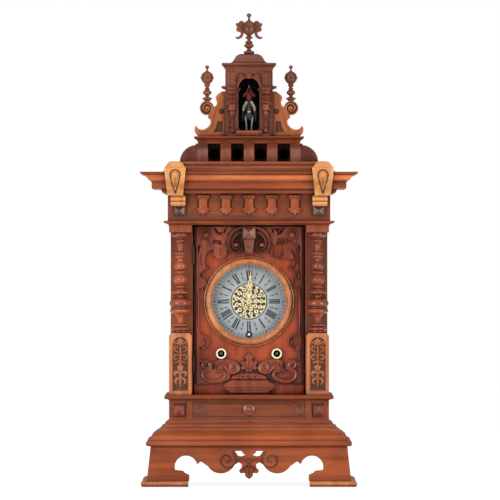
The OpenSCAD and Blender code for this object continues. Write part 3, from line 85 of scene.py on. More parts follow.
CORNICE_Z = 611.4
TURRET_TOP_Z = 873.4
FRONT_Y = -92.0
PANEL_Y = -32.0
FRET_Y = -40.0
FRIEZE_Y = -94.6
CORBEL_Y = -160.0
TURRET_Y = -30.0
WING_Y = -24.0
DIAL_Z = 387.0
DIAL_Y = -15.0
WIND_X = 58.7
WIND_Z = 277.0
COLUMN_X = 144.25
COLUMN_Y = -68.25
NICHE_Z = 748.4
FIGURE_Y = 4.0

# Millimetres of the clock for one step of a measured profile
PHOTO_STEP = 0.2947


# Shader maths


def linear(colour: Colour) -> tuple[float, float, float, float]:
    """Turns an sRGB colour of 0 to 255 into a linear one with full alpha.

    Args:
        colour: its red, green and blue.

    Returns:
        Linear red, green, blue and alpha.
    """
    parts = [c / 255 for c in colour]
    made = [p / 12.92 if p <= 0.04045 else ((p + 0.055) / 1.055) ** 2.4 for p in parts]
    return (made[0], made[1], made[2], 1.0)


class Value:
    """A number or vector socket of a shader, which arithmetic turns into Math nodes."""

    def __init__(self, shade: "Shade", socket: bpy.types.NodeSocket) -> None:
        """Keeps the socket and the shader it belongs to."""
        self.shade = shade
        self.socket = socket

    def _maths(self, operation: str, first: "Value | float", second: "Value | float" = 0.0) -> "Value":
        """Adds a Math node on two values and returns its result."""
        return self.shade.node("ShaderNodeMath", {"operation": operation}, {0: first, 1: second})

    def __add__(self, other: "Value | float") -> "Value":
        """Sum."""
        return self._maths("ADD", self, other)

    def __sub__(self, other: "Value | float") -> "Value":
        """Difference."""
        return self._maths("SUBTRACT", self, other)

    def __mul__(self, other: "Value | float") -> "Value":
        """Product."""
        return self._maths("MULTIPLY", self, other)

    def __rsub__(self, other: float) -> "Value":
        """Difference from a number."""
        return self._maths("SUBTRACT", other, self)

    def __gt__(self, other: "Value | float") -> "Value":
        """1 where this is greater."""
        return self._maths("GREATER_THAN", self, other)

    __radd__ = __add__
    __rmul__ = __mul__

    def magnitude(self) -> "Value":
        """Absolute value."""
        return self._maths("ABSOLUTE", self)

    def smooth(self, low: float, high: float) -> "Value":
        """Smooth step from 0 at low to 1 at high.

        Args:
            low: where the step starts.
            high: where it ends.

        Returns:
            The step.
        """
        return self.shade.node(
            "ShaderNodeMapRange",
            {"interpolation_type": "SMOOTHSTEP"},
            {"Value": self, "From Min": low, "From Max": high, "To Min": 0.0, "To Max": 1.0},
        )


class Shade:
    """Node tree of one material, with a Principled shader at its end."""

    def __init__(self, name: str) -> None:
        """Starts the material and finds its shader.

        Args:
            name: the material's name.
        """
        self.material = bpy.data.materials.new(name)
        self.material.use_nodes = True
        self.tree = self.material.node_tree
        self.shader = self.tree.nodes["Principled BSDF"]

    def node(self, kind: str, settings: dict[str, object], inputs: dict[object, object],
             output: int = 0) -> Value:
        """Adds a node.

        Args:
            kind: the node's type.
            settings: its properties, set before its sockets.
            inputs: values or links of its sockets, by name or index.
            output: index of the socket that is returned.

        Returns:
            The chosen output.
        """
        made = self.tree.nodes.new(kind)
        for key, setting in settings.items():
            setattr(made, key, setting)
        for key, given in inputs.items():
            self.join(made.inputs[key], given)
        return Value(self, made.outputs[output])

    def join(self, socket: bpy.types.NodeSocket, given: object) -> None:
        """Links a value to a socket, or sets a number or colour on it.

        Args:
            socket: the socket.
            given: a value of this shader, a number or a colour.
        """
        if isinstance(given, Value):
            self.tree.links.new(given.socket, socket)
        else:
            socket.default_value = given

    def set(self, **given: object) -> None:
        """Sets or links sockets of the shader, with spaces written as underscores."""
        for key, value in given.items():
            self.join(self.shader.inputs[key.replace("_", " ")], value)

    def place(self) -> Value:
        """Object coordinates, in metres."""
        return self.node("ShaderNodeTexCoord", {}, {}, 3)

    def facing(self) -> Value:
        """The surface's normal in object space."""
        return self.node("ShaderNodeTexCoord", {}, {}, 1)

    def split(self, vector: Value) -> tuple[Value, Value, Value]:
        """The three parts of a vector.

        Args:
            vector: the vector.

        Returns:
            X, Y and Z.
        """
        made = self.node("ShaderNodeSeparateXYZ", {}, {0: vector})
        node = made.socket.node
        return (made, Value(self, node.outputs[1]), Value(self, node.outputs[2]))

    def stretch(self, vector: Value, by: Point3) -> Value:
        """A vector multiplied part by part."""
        return self.node("ShaderNodeVectorMath", {"operation": "MULTIPLY"}, {0: vector, 1: by})

    def noise(self, vector: Value, scale: float, detail: float = 3.0, twist: float = 0.0) -> Value:
        """Noise from 0 to 1."""
        inputs = {"Vector": vector, "Scale": scale, "Detail": detail, "Distortion": twist}
        return self.node("ShaderNodeTexNoise", {}, inputs)

    def blend(self, amount: object, first: object, second: object) -> Value:
        """Mixes two colours."""
        return self.node("ShaderNodeMix", {"data_type": "RGBA"}, {0: amount, 6: first, 7: second}, 2)

    def tint(self, amount: object, first: object, second: object) -> Value:
        """Multiplies a colour by another."""
        settings = {"data_type": "RGBA", "blend_type": "MULTIPLY"}
        return self.node("ShaderNodeMix", settings, {0: amount, 6: first, 7: second}, 2)

    def pick(self, amount: Value, first: Value, second: Value) -> Value:
        """Mixes two vectors."""
        return self.node("ShaderNodeMix", {"data_type": "VECTOR"}, {0: amount, 4: first, 5: second}, 1)

    def painted_crevice_shade(self, reach: float) -> Value:
        """Ambient occlusion for painted crevice shade: 1 in the open and less in crevices, within a reach in
        metres.
        """
        return self.node("ShaderNodeAmbientOcclusion", {"samples": 4}, {"Distance": reach}, 1)

    def bump(self, height: Value, depth: float, strength: float = 1.0) -> None:
        """Raises the surface by height times depth, in metres."""
        self.set(Normal=self.node("ShaderNodeBump", {},
                                  {"Strength": strength, "Distance": depth, "Height": height}))


# Finishes


class Grain(Enum):
    """Which way the grain of a wooden piece runs."""

    UPRIGHT = (1.0, 1.0, 0.05)
    ACROSS = (0.05, 1.0, 1.0)
    DEEP = (1.0, 0.05, 1.0)
    MITRED = (0.05, 0.05, 1.0)


@dataclass(frozen=True)
class Wood:
    """French-polished wood with figure, streaks and pores, and painted shade darkening its crevices."""

    name: str
    slot: str
    light: Colour
    mid: Colour
    dark: Colour
    grain: Grain
    roughness: float = 0.36
    coat: float = 0.2

    def material(self) -> bpy.types.Material:
        """Builds the material.

        Returns:
            The finished material.
        """
        s = Shade(self.name)
        place = s.place()
        if self.grain is Grain.MITRED:
            x, y, _ = s.split(s.facing())
            side = x.magnitude() > (y.magnitude() + 0.2)
            along = s.pick(side, s.stretch(place, Grain.ACROSS.value), s.stretch(place, Grain.DEEP.value))
        else:
            along = s.stretch(place, self.grain.value)
        figure = s.noise(along, 26.0, 4.0, 1.6)
        streaks = s.noise(along, 170.0, 3.0, 0.3)
        pores = s.noise(along, 900.0, 2.0)
        patches = s.noise(place, 9.0, 2.0)
        unshaded_share = s.painted_crevice_shade(0.014)
        tone = (figure * 0.5 + streaks * 0.5).smooth(0.3, 0.66)
        colour = s.blend(tone * 0.6 + 0.4, linear(self.dark), linear(self.mid))
        colour = s.blend((patches * 0.6 + figure * 0.4).smooth(0.44, 0.68) * 0.6, colour, linear(self.light))
        pore = pores.smooth(0.62, 0.7)
        colour = s.blend(pore * 0.45, colour, linear(tuple(c * 0.5 for c in self.dark)))
        # Painted shade: crevices found by ambient occlusion are darkened towards a dark brown.
        colour = s.tint((1 - unshaded_share.smooth(0.25, 0.95)) * 0.85, colour, linear((92, 60, 48)))
        s.set(
            Base_Color=colour,
            Roughness=streaks * 0.2 + patches * 0.12 + (self.roughness - 0.16),
            Coat_Weight=self.coat,
            Coat_Roughness=0.22,
            Specular_IOR_Level=0.3,
        )
        s.bump(1 - pore * 0.6 + streaks * 0.3, 0.00012)
        return s.material


@dataclass(frozen=True)
class Metal:
    """Worked metal with fine scratches and some tarnish."""

    name: str
    slot: str
    colour: Colour
    tarnish: Colour
    roughness: float
    amount: float = 0.35
    metallic: float = 1.0
    spots: float = 60.0

    def material(self) -> bpy.types.Material:
        """Builds the material.

        Returns:
            The finished material.
        """
        s = Shade(self.name)
        place = s.place()
        cloud = s.noise(place, self.spots, 4.0)
        scratch = s.noise(s.stretch(place, (1.0, 1.0, 0.1)), 900.0, 2.0)
        worn = cloud.smooth(0.4, 0.75)
        s.set(
            Base_Color=s.blend(worn * self.amount, linear(self.colour), linear(self.tarnish)),
            Metallic=self.metallic,
            Roughness=worn * 0.18 + scratch * 0.12 + (self.roughness - 0.08),
        )
        s.bump(scratch + cloud * 0.5, 0.00004)
        return s.material


@dataclass(frozen=True)
class Paint:
    """Old oil paint on carved wood or tin, worn in places."""

    name: str
    slot: str
    colour: Colour
    worn: Colour
    roughness: float = 0.5
    wear: float = 0.35

    def material(self) -> bpy.types.Material:
        """Builds the material.

        Returns:
            The finished material.
        """
        s = Shade(self.name)
        place = s.place()
        patches = s.noise(place, 220.0, 4.0)
        brush = s.noise(s.stretch(place, (1.0, 1.0, 0.3)), 700.0, 2.0)
        rubbed = patches.smooth(0.56, 0.72)
        s.set(
            Base_Color=s.blend(rubbed * self.wear, linear(self.colour), linear(self.worn)),
            Roughness=brush * 0.2 + (self.roughness - 0.1),
        )
        s.bump(brush + patches, 0.00008)
        return s.material


WALNUT = Wood("walnut_mitred", "walnut", (176, 88, 42), (136, 62, 29), (92, 41, 21), Grain.MITRED)
WALNUT_UP = Wood("walnut_upright", "walnut", (160, 80, 42), (122, 57, 32), (80, 36, 22), Grain.UPRIGHT)
WALNUT_DARK = Wood("walnut_dark_upright", "walnut_dark", (120, 62, 38), (92, 44, 28), (58, 28, 19),
                   Grain.UPRIGHT)
WALNUT_BROWN = Wood("walnut_brown", "walnut_dark", (150, 84, 54), (112, 60, 42), (68, 37, 29), Grain.UPRIGHT,
                    0.32)
WALNUT_GOLD = Wood("walnut_gold", "walnut_light", (238, 176, 108), (214, 144, 80), (172, 104, 58),
                   Grain.UPRIGHT)
WALNUT_ORANGE = Wood("walnut_orange", "walnut_light", (202, 120, 60), (166, 90, 45), (106, 56, 32),
                     Grain.UPRIGHT)
BRASS = Metal("brass_plain", "brass", (206, 168, 92), (120, 84, 42), 0.32)
# Near-black brass as painted shade, for the trumpets that show in the gallery's dark gaps.
BRASS_PAINTED_SHADE = Metal("brass_dark_painted_shade", "brass", (52, 40, 26), (24, 19, 15), 0.6, 0.6)
BRASS_DULL = Metal("brass_dull", "brass", (112, 84, 48), (70, 50, 32), 0.45, 0.5)
HINGE_BROWN = Metal("hinge_brown", "brass", (86, 56, 40), (56, 38, 30), 0.5, 0.6, 0.7)
# Near-white steel as painted light, so that arbor ends deep in their holes read bright.
STEEL_PAINTED_LIGHT = Metal("steel_painted_light", "steel", (244, 246, 248), (206, 206, 204), 0.4, 0.4, 0.2)
STEEL = Metal("steel_plain", "steel", (206, 208, 210), (120, 116, 110), 0.34)
PEWTER = Metal("pewter_dial", "pewter", (158, 168, 170), (132, 142, 144), 0.55, 0.5, 0.15, 45.0)
GILT = Metal("gilt", "gilt", (224, 190, 112), (150, 112, 56), 0.34)
WALNUT_PANEL = Wood("walnut_door_panel", "walnut", (196, 86, 40), (164, 66, 32), (112, 42, 22),
                    Grain.UPRIGHT, 0.3, 0.4)
WALNUT_CARVED = Wood("walnut_carved", "walnut", (172, 84, 50), (128, 58, 38), (76, 35, 26), Grain.UPRIGHT,
                     0.32, 0.3)
WALNUT_CREST = Wood("walnut_crest", "walnut_dark", (112, 72, 54), (84, 51, 39), (52, 31, 25), Grain.UPRIGHT,
                    0.3, 0.3)
WALNUT_BEZEL = Wood("walnut_bezel", "walnut_light", (222, 150, 94), (188, 114, 68), (134, 74, 42),
                    Grain.DEEP, 0.28, 0.4)
GILT_PALE = Metal("gilt_pale", "gilt", (236, 222, 178), (176, 152, 104), 0.4, 0.3, 0.35)
INK = Paint("dial_ink", "pewter", (34, 38, 42), (60, 66, 70), 0.5, 0.2)
HORSE = Paint("horse_black", "figure_paint", (44, 44, 50), (74, 72, 74), 0.45)
LEG_GREY = Paint("horse_leg_grey", "figure_paint", (132, 128, 122), (96, 92, 90), 0.5)
MUZZLE = Paint("muzzle_beige", "figure_paint", (206, 170, 138), (170, 136, 112), 0.5)
BREECHES = Paint("breeches_cream", "figure_paint", (206, 196, 158), (160, 148, 118), 0.55)
NAVY = Paint("coat_navy", "figure_paint", (42, 42, 72), (70, 62, 80), 0.55)
SCARLET = Paint("jacket_red", "figure_paint", (150, 52, 50), (110, 50, 48), 0.5)
SKIN = Paint("skin_paint", "figure_paint", (206, 158, 128), (176, 126, 100), 0.45)
PLUME = Paint("plume_pink", "figure_paint", (214, 160, 166), (180, 130, 136), 0.6)
LINING = Paint("niche_black", "walnut_dark", (20, 18, 19), (30, 26, 26), 0.75)
WALNUT_WARM = Wood("walnut_warm", "walnut", (190, 98, 50), (150, 72, 36), (100, 46, 26), Grain.UPRIGHT)
# Walnut brightened as painted light for the downward-facing cyma band of the cornice.
WALNUT_CYMA_PAINTED_LIGHT = Wood("walnut_cyma_painted_light", "walnut_light", (236, 140, 74), (202, 108, 56), (146, 76, 40),
                   Grain.MITRED)
WALNUT_DRAWER = Wood("walnut_drawer", "walnut", (154, 78, 40), (120, 56, 28), (80, 37, 21), Grain.MITRED)
WALNUT_ROOF = Wood("walnut_roof", "walnut", (142, 76, 48), (110, 56, 38), (72, 36, 26), Grain.MITRED)
WALNUT_TURNED = Wood("walnut_turned", "walnut", (192, 98, 52), (146, 68, 38), (78, 36, 24), Grain.ACROSS,
                     0.26, 0.5)
WALNUT_AMBER = Wood("walnut_amber", "walnut", (222, 148, 92), (188, 112, 68), (132, 74, 46), Grain.UPRIGHT)
BONE = Paint("bone_rings", "bone", (244, 234, 206), (214, 196, 156), 0.42, 0.4)

Finish = Wood | Metal | Paint


class Palette:
    """Materials made once for each finish."""

    def __init__(self) -> None:
        """Starts with nothing made."""
        self.made: dict[str, bpy.types.Material] = {}

    def of(self, finish: Finish) -> bpy.types.Material:
        """The material of a finish.

        Args:
            finish: the finish.

        Returns:
            Its material.
        """
        if finish.name not in self.made:
            self.made[finish.name] = finish.material()
        return self.made[finish.name]


# Mesh building


class Axis(Enum):
    """Which way the axis of a turned piece runs."""

    ACROSS = "x"
    DEEP = "y"
    UPRIGHT = "z"


class Shape:
    """Mesh under construction, in millimetres, with its faces as lists of point numbers."""

    def __init__(self) -> None:
        """Starts empty."""
        self.points: list[Point3] = []
        self.faces: list[list[int]] = []

    def add(self, points: Iterable[Point3], faces: Iterable[Sequence[int]]) -> "Shape":
        """Adds points and the faces that join them.

        Args:
            points: the points, in millimetres.
            faces: numbers of the points round each face.

        Returns:
            This shape.
        """
        start = len(self.points)
        self.points.extend(points)
        self.faces.extend([[start + i for i in f] for f in faces])
        return self

    def turned(self, centre: Point3, axis: Axis, profile: Sequence[Point], steps: int = 64) -> "Shape":
        """Adds a body turned about an axis.

        Args:
            centre: a point on the axis.
            axis: which way it runs.
            profile: radius and distance along the axis, from one end to the other. It closes into a ring
                where both ends lie in one plane.
            steps: sides of the circle.

        Returns:
            This shape.
        """
        rows: list[list[int]] = []
        points: list[Point3] = []
        for r, h in profile:
            if r < 1e-4:
                rows.append([len(points)] * steps)
                points.append(self._on_axis(centre, axis, 0.0, 0.0, h))
                continue
            rows.append(list(range(len(points), len(points) + steps)))
            for i in range(steps):
                a = TURN * i / steps
                points.append(self._on_axis(centre, axis, r * math.cos(a), r * math.sin(a), h))
        faces: list[list[int]] = []
        for low, high in zip(rows, rows[1:]):
            for i in range(steps):
                j = (i + 1) % steps
                quad = [low[i], low[j], high[j], high[i]]
                faces.append(list(dict.fromkeys(quad)))
        if profile[0][0] > 1e-4 and abs(profile[0][1] - profile[-1][1]) < 1e-6:
            low, high = rows[-1], rows[0]
            faces += [[low[i], low[(i + 1) % steps], high[(i + 1) % steps], high[i]] for i in range(steps)]
        else:
            ends = ((rows[0], profile[0]), (rows[-1], profile[-1]))
            faces += [list(row) for row, end in ends if end[0] > 1e-4]
        return self.add(points, [f for f in faces if len(f) > 2])

    @staticmethod
    def _on_axis(centre: Point3, axis: Axis, u: float, v: float, h: float) -> Point3:
        """A point beside an axis.

        Args:
            centre: a point on the axis.
            axis: which way it runs.
            u: distance to one side.
            v: distance to the other side.
            h: distance along it.

        Returns:
            The point.
        """
        x, y, z = centre
        if axis is Axis.UPRIGHT:
            return (x + u, y + v, z + h)
        if axis is Axis.DEEP:
            return (x + u, y + h, z + v)
        return (x + h, y + u, z + v)

    def strap(
        self,
        path: Sequence[Point],
        widths: Sequence[float],
        front: float,
        back: float,
        section: Sequence[Point],
        round_ends: bool = True,
    ) -> "Shape":
        """Adds a carved strap on an upright panel, along a path in X and Z.

        Args:
            path: the strap's middle line.
            widths: half its width at each point of the path.
            front: Y of its highest line.
            back: Y of its flat underside.
            section: points across it, from -1 to 1, each with a height from 0 at the back to 1 at the front.
            round_ends: whether the ends fall away in height.

        Returns:
            This shape.
        """
        count = len(path)
        points: list[Point3] = []
        for i, (x, z) in enumerate(path):
            a = path[max(i - 1, 0)]
            b = path[min(i + 1, count - 1)]
            dx, dz = b[0] - a[0], b[1] - a[1]
            length = math.hypot(dx, dz) or 1.0
            nx, nz = -dz / length, dx / length
            fall = 0.55 if round_ends and i in (0, count - 1) else 1.0
            for u, h in section:
                w = widths[i] * u
                points.append((x + nx * w, back + (front - back) * h * (fall if h > 0 else 1.0), z + nz * w))
        return self.add(points, lofted(count, len(section)))

    def vein(
        self, path: Sequence[Point], widths: Point3, front: float, back: float, steps: int = 4
    ) -> "Shape":
        """Adds a ridged strap along a smooth line through a few points.

        Args:
            path: the points.
            widths: half its width at the start and at the end, and how much it swells between them.
            front: Y of its ridge.
            back: Y of its flat underside.
            steps: points made for each one given.

        Returns:
            This shape.
        """
        line = flow(path, False, steps)
        return self.strap(line, taper(len(line), *widths), front, back, RIDGED)

    def plate(self, outline: Sequence[Point], front: float, back: float, edge: float = 0.0) -> "Shape":
        """Adds an upright plate over an outline in X and Z, with a chamfered front edge.

        Args:
            outline: its corners in order.
            front: Y of its front.
            back: Y of its back.
            edge: width of the chamfer.

        Returns:
            This shape.
        """
        n = len(outline)
        area = sum(outline[i - 1][0] * outline[i][1] - outline[i][0] * outline[i - 1][1] for i in range(n))
        ring = list(outline) if area > 0 else list(reversed(outline))
        rows = [[(x, back, z) for x, z in ring], [(x, front + edge, z) for x, z in ring]]
        if edge:
            inner = inset(ring, edge)
            rows.append([(x, front, z) for x, z in inner])
        points = [p for row in rows for p in row]
        return self.add(points, lofted(len(rows), n))

    def tube(self, path: Sequence[Point3], radii: Sequence[float], steps: int = 14) -> "Shape":
        """Adds a round limb along a path.

        Args:
            path: its middle line.
            radii: its radius at each point.
            steps: sides of its section.

        Returns:
            This shape.
        """
        points: list[Point3] = []
        n = len(path)
        for i, place in enumerate(path):
            here = Vector(place)
            along = (Vector(path[min(i + 1, n - 1)]) - Vector(path[max(i - 1, 0)])).normalized()
            u = along.cross(Vector((0.31, 0.9, 0.2))).normalized()
            v = along.cross(u)
            for k in range(steps):
                a = TURN * k / steps
                off = (u * math.cos(a) + v * math.sin(a)) * radii[i]
                points.append((here.x + off.x, here.y + off.y, here.z + off.z))
        return self.add(points, lofted(n, steps))

    def moulding(self, loop: Sequence[Point], half: float, front: float, back: float) -> "Shape":
        """Adds a moulding mitred round the left side, the front and the right side.

        Args:
            loop: closed section of distance outwards and height.
            half: half the width of what it runs round.
            front: Y of the face it runs along.
            back: Y of its two ends.

        Returns:
            This shape.
        """
        points: list[Point3] = []
        for corner in range(4):
            s = -1 if corner < 2 else 1
            points += [(s * (half + o), back if corner in (0, 3) else front - o, z) for o, z in loop]
        return self.add(points, lofted(4, len(loop)))

    def stack(self, levels: Sequence[tuple[float, float, float, float]]) -> "Shape":
        """Adds a block of rectangular levels, each given as half width, front, back and height.

        Args:
            levels: the levels, from the lowest up.

        Returns:
            This shape.
        """
        corners = [((-w, front), (w, front), (w, back), (-w, back)) for w, front, back, _ in levels]
        points = [(x, y, level[3]) for four, level in zip(corners, levels) for x, y in four]
        return self.add(points, lofted(len(levels), 4))

    def pyramid(self, ring: Sequence[Point], y: float, rise: float) -> "Shape":
        """Adds a low pyramid on an upright face, its point forwards by rise.

        Args:
            ring: corners of its base in X and Z.
            y: Y of the face.
            rise: its height.

        Returns:
            This shape.
        """
        cx = sum(p[0] for p in ring) / len(ring)
        cz = sum(p[1] for p in ring) / len(ring)
        n = len(ring)
        points = [(x, y, z) for x, z in ring] + [(cx, y - rise, cz), (cx, y + 0.8, cz)]
        faces = [[i, (i + 1) % n, n] for i in range(n)] + [[(i + 1) % n, i, n + 1] for i in range(n)]
        return self.add(points, faces)

    def box(self, low: Point3, high: Point3) -> "Shape":
        """Adds a block between two corners.

        Args:
            low: the lowest, foremost corner on the left.
            high: the corner across from it.

        Returns:
            This shape.
        """
        xs, ys, zs = zip(low, high)
        faces = ((0, 1, 3, 2), (4, 6, 7, 5), (0, 4, 5, 1), (2, 3, 7, 6), (0, 2, 6, 4), (1, 5, 7, 3))
        return self.add([(x, y, z) for x in xs for y in ys for z in zs], faces)

    def mirrored(self) -> "Shape":
        """Adds the whole shape again on the other side of X = 0."""
        return self.add([(-x, y, z) for x, y, z in self.points], [list(reversed(f)) for f in self.faces])

    def mesh(self) -> bpy.types.Mesh:
        """Makes the Blender mesh in metres, closed and facing outwards.

        Returns:
            The mesh.
        """
        made = bpy.data.meshes.new("shape")
        made.from_pydata([(x * MM, y * MM, z * MM) for x, y, z in self.points], [], self.faces)
        tidy_mesh(made)
        return made


def lofted(rows: int, n: int) -> list[list[int]]:
    """Faces round rows of n points each, with one face at either end.

    Args:
        rows: how many rows there are.
        n: points in each row.

    Returns:
        The faces, as lists of point numbers.
    """
    made = [[k + i, k + (i + 1) % n, k + n + (i + 1) % n, k + n + i] for k in range(0, (rows - 1) * n, n)
            for i in range(n)]
    return [*made, list(range(n)), [(rows - 1) * n + i for i in range(n)]]


def inset(ring: Sequence[Point], by: float) -> list[Point]:
    """Moves each corner of a counterclockwise outline inwards.

    Args:
        ring: the outline.
        by: how far, in millimetres.

    Returns:
        The smaller outline.
    """
    n = len(ring)
    made: list[Point] = []
    for i, (x, z) in enumerate(ring):
        (ax, az), (bx, bz) = ring[i - 1], ring[(i + 1) % n]
        d1 = Vector((x - ax, z - az)).normalized()
        d2 = Vector((bx - x, bz - z)).normalized()
        n1, n2 = Vector((-d1.y, d1.x)), Vector((-d2.y, d2.x))
        mid = n1 + n2
        scale = by * 2 / max(mid.length_squared, 0.8)
        made.append((x + mid.x * scale, z + mid.y * scale))
    return made


def tidy_mesh(mesh: bpy.types.Mesh, angle: float = 35.0) -> None:
    """Merges doubles, turns faces outwards and smooths across shallow angles.

    Args:
        mesh: the mesh.
        angle: edges sharper than this many degrees stay sharp.
    """
    bm = bmesh.new()
    bm.from_mesh(mesh)
    bmesh.ops.remove_doubles(bm, verts=bm.verts, dist=1e-6)
    bmesh.ops.dissolve_degenerate(bm, edges=bm.edges, dist=1e-7)
    bmesh.ops.recalc_face_normals(bm, faces=bm.faces)
    bm.to_mesh(mesh)
    bm.free()
    mesh.shade_smooth()
    mesh.set_sharp_from_angle(angle=math.radians(angle))


def arc(cx: float, cz: float, r: float, start: float, end: float, steps: int = 12) -> list[Point]:
    """Points on an arc, its angles in degrees from +X towards +Z."""
    angles = [math.radians(start + (end - start) * i / steps) for i in range(steps + 1)]
    return [(cx + r * math.cos(a), cz + r * math.sin(a)) for a in angles]


def spiral(cx: float, cz: float, r0: float, r1: float, start: float, turns: float,
           steps: int = 36) -> list[Point]:
    """Points on a spiral from radius r0 to r1, turning by a number of turns from a start angle.

    Args:
        cx: X of its middle.
        cz: Z of its middle.
        r0: its first radius.
        r1: its last radius.
        start: angle of its first point in degrees.
        turns: turns from +X towards +Z.
        steps: points after the first one.

    Returns:
        The points.
    """
    made: list[Point] = []
    for i in range(steps + 1):
        t = i / steps
        a = math.radians(start + 360 * turns * t)
        r = r0 + (r1 - r0) * t
        made.append((cx + r * math.cos(a), cz + r * math.sin(a)))
    return made


def taper(count: int, first: float, last: float, swell: float = 0.0) -> list[float]:
    """Widths along a path, from first to last, with a swelling in the middle.

    Args:
        count: how many points the path has.
        first: width at its start.
        last: width at its end.
        swell: what is added halfway.

    Returns:
        One width for each point.
    """
    shares = [i / (count - 1) for i in range(count)]
    return [first + (last - first) * t + swell * math.sin(math.pi * t) for t in shares]


ROUNDED: Profile = ((-1, 0), (-0.95, 0.55), (-0.7, 0.88), (0, 1), (0.7, 0.88), (0.95, 0.55), (1, 0))
HOLLOWED: Profile = (
    (-1, 0), (-0.97, 0.7), (-0.8, 1), (-0.6, 0.95), (0, 0.62), (0.6, 0.95), (0.8, 1), (0.97, 0.7), (1, 0)
)
RIDGED: Profile = ((-1, 0), (-0.95, 0.35), (0, 1), (0.95, 0.35), (1, 0))
FLAT: Profile = ((-1, 0), (-1, 0.85), (-0.88, 1), (0.88, 1), (1, 0.85), (1, 0))


class Bench:
    """Where pieces are finished and joined to the bodies of the frame."""

    def __init__(self, frame: dict) -> None:
        """Keeps the frame, with an empty palette and the tree that repeats things round a ring.
        """
        self.frame = frame
        self.palette = Palette()
        self.ring = Repeater()
        self.count = 0

    def fit(self, name: str, made: Shape | bpy.types.Mesh, finish: Finish, node: str) -> bpy.types.Object:
        """Makes a piece and lets it ride on the body of a CAD node.

        Args:
            name: the piece's name.
            made: its shape, or its mesh in place.
            finish: its finish.
            node: the CAD node that it moves with.

        Returns:
            The piece.
        """
        mesh = made.mesh() if isinstance(made, Shape) else made
        mesh.name = name
        piece = bpy.data.objects.new(name, mesh)
        bpy.context.scene.collection.objects.link(piece)
        mesh.materials.clear()
        mesh.materials.append(self.palette.of(finish))
        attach(piece, self.frame["nodes"][node]["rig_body"])
        self.count += 1
        LOG.info("piece %s beside %s, %d faces", name, node, len(mesh.polygons))
        return piece

    def stand_in(self, name: str, made: Shape | bpy.types.Mesh, finish: Finish, node: str) -> None:
        """Makes a piece that takes the place of a CAD node."""
        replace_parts(self.fit(name, made, finish, node), node)

    def soften(
        self,
        node: str,
        finish: Finish,
        edge: float = 0.7,
        angle: float = 32.0,
        take: Callable[[Vector], bool] | None = None,
        name: str = "",
    ) -> None:
        """Refines a copy of a CAD node's mesh with broken edges and smooth curves.

        Args:
            node: the CAD node.
            finish: its finish.
            edge: width of the broken edge in millimetres, 0 for none.
            angle: edges sharper than this many degrees stay sharp.
            take: picks the faces to keep by their middle, in metres, or all where it is None.
            name: the piece's name, or the node's with _fine.
        """
        mesh = self.frame["nodes"][node].data.copy()
        bm = bmesh.new()
        bm.from_mesh(mesh)
        bmesh.ops.remove_doubles(bm, verts=bm.verts, dist=2e-6)
        if take:
            bmesh.ops.delete(bm, geom=[f for f in bm.faces if not take(f.calc_center_median())],
                             context="FACES")
        bmesh.ops.dissolve_limit(bm, angle_limit=math.radians(0.6), verts=bm.verts, edges=bm.edges)
        if edge:
            joints = [e for e in bm.edges if len(e.link_faces) == 2]
            sharp = [e for e in joints if e.calc_face_angle(0.0) > math.radians(angle)]
            bmesh.ops.bevel(
                bm, geom=sharp, offset=edge * MM, offset_type="OFFSET", segments=2, profile=0.7,
                affect="EDGES", clamp_overlap=True,
            )
        bmesh.ops.recalc_face_normals(bm, faces=bm.faces)
        bm.to_mesh(mesh)
        bm.free()
        for attribute in [a.name for a in mesh.attributes if a.name == "custom_normal"]:
            mesh.attributes.remove(mesh.attributes[attribute])
        mesh.shade_smooth()
        mesh.set_sharp_from_angle(angle=math.radians(angle))
        self.stand_in(name or node + "_fine", mesh, finish, node)

    def paint(self, node: str, finish: Finish) -> None:
        """Gives a CAD node that stays as it is its finish.

        Args:
            node: the CAD node.
            finish: its finish.
        """
        mesh = self.frame["nodes"][node].data
        mesh.materials.clear()
        mesh.materials.append(self.palette.of(finish))
        LOG.info("node %s keeps its shape", node)


def catmull(a: float, b: float, c: float, d: float, t: float) -> float:
    """One coordinate of a smooth line between b and c."""
    square = (2 * a - 5 * b + 4 * c - d) * t * t
    return 0.5 * (2 * b + (c - a) * t + square + (3 * b - a - 3 * c + d) * t ** 3)


def flow(points: Sequence[Sequence[float]], closed: bool = True, steps: int = 5) -> list[Point]:
    """Rounds a run of points into a smooth line.

    Args:
        points: X and Z of each point, and a third value where it stays a corner.
        closed: whether the line ends where it starts.
        steps: points made for each one given.

    Returns:
        The points of the smooth line.
    """
    n = len(points)
    made: list[Point] = []
    for i in range(n if closed else n - 1):
        p1, p2 = points[i], points[(i + 1) % n]
        p0 = points[i - 1] if (closed or i) and len(p1) < 3 else p1
        p3 = points[(i + 2) % n] if (closed or i + 2 < n) and len(p2) < 3 else p2
        for k in range(steps):
            t = k / steps
            made.append((catmull(p0[0], p1[0], p2[0], p3[0], t), catmull(p0[1], p1[1], p2[1], p3[1], t)))
    if not closed:
        made.append((points[-1][0], points[-1][1]))
    return made


def turning(rows: Sequence[Point], zero: float, least: float = 0.4) -> list[Point]:
    """Smooth turned line through rows measured in steps of PHOTO_STEP.

    Args:
        rows: distance down from a level and half width, from top to bottom.
        zero: height of that level in millimetres.
        least: smallest radius between the rows.

    Returns:
        Radius and height of each point.
    """
    line = [(r * PHOTO_STEP, zero - down * PHOTO_STEP) for down, r in rows]
    made: list[Point] = [line[0]]
    for i in range(len(line) - 1):
        a, b, c, d = line[max(i - 1, 0)], line[i], line[i + 1], line[min(i + 2, len(line) - 1)]
        for t in (1 / 3, 2 / 3):
            made.append((max(catmull(a[0], b[0], c[0], d[0], t), least), b[1] + (c[1] - b[1]) * t))
        made.append(c)
    return made


def upright(x: float, half: float, low: float, high: float, top: float | None = None) -> list[Point]:
    """Corners of an upright rectangle, or of one that widens to another half width at its top."""
    top = half if top is None else top
    return [(x - half, low), (x + half, low), (x + top, high), (x - top, high)]


def flip(points: Sequence[Sequence[float]]) -> list[Sequence[float]]:
    """The same points on the other side of X = 0."""
    return [(-p[0], *p[1:]) for p in points]


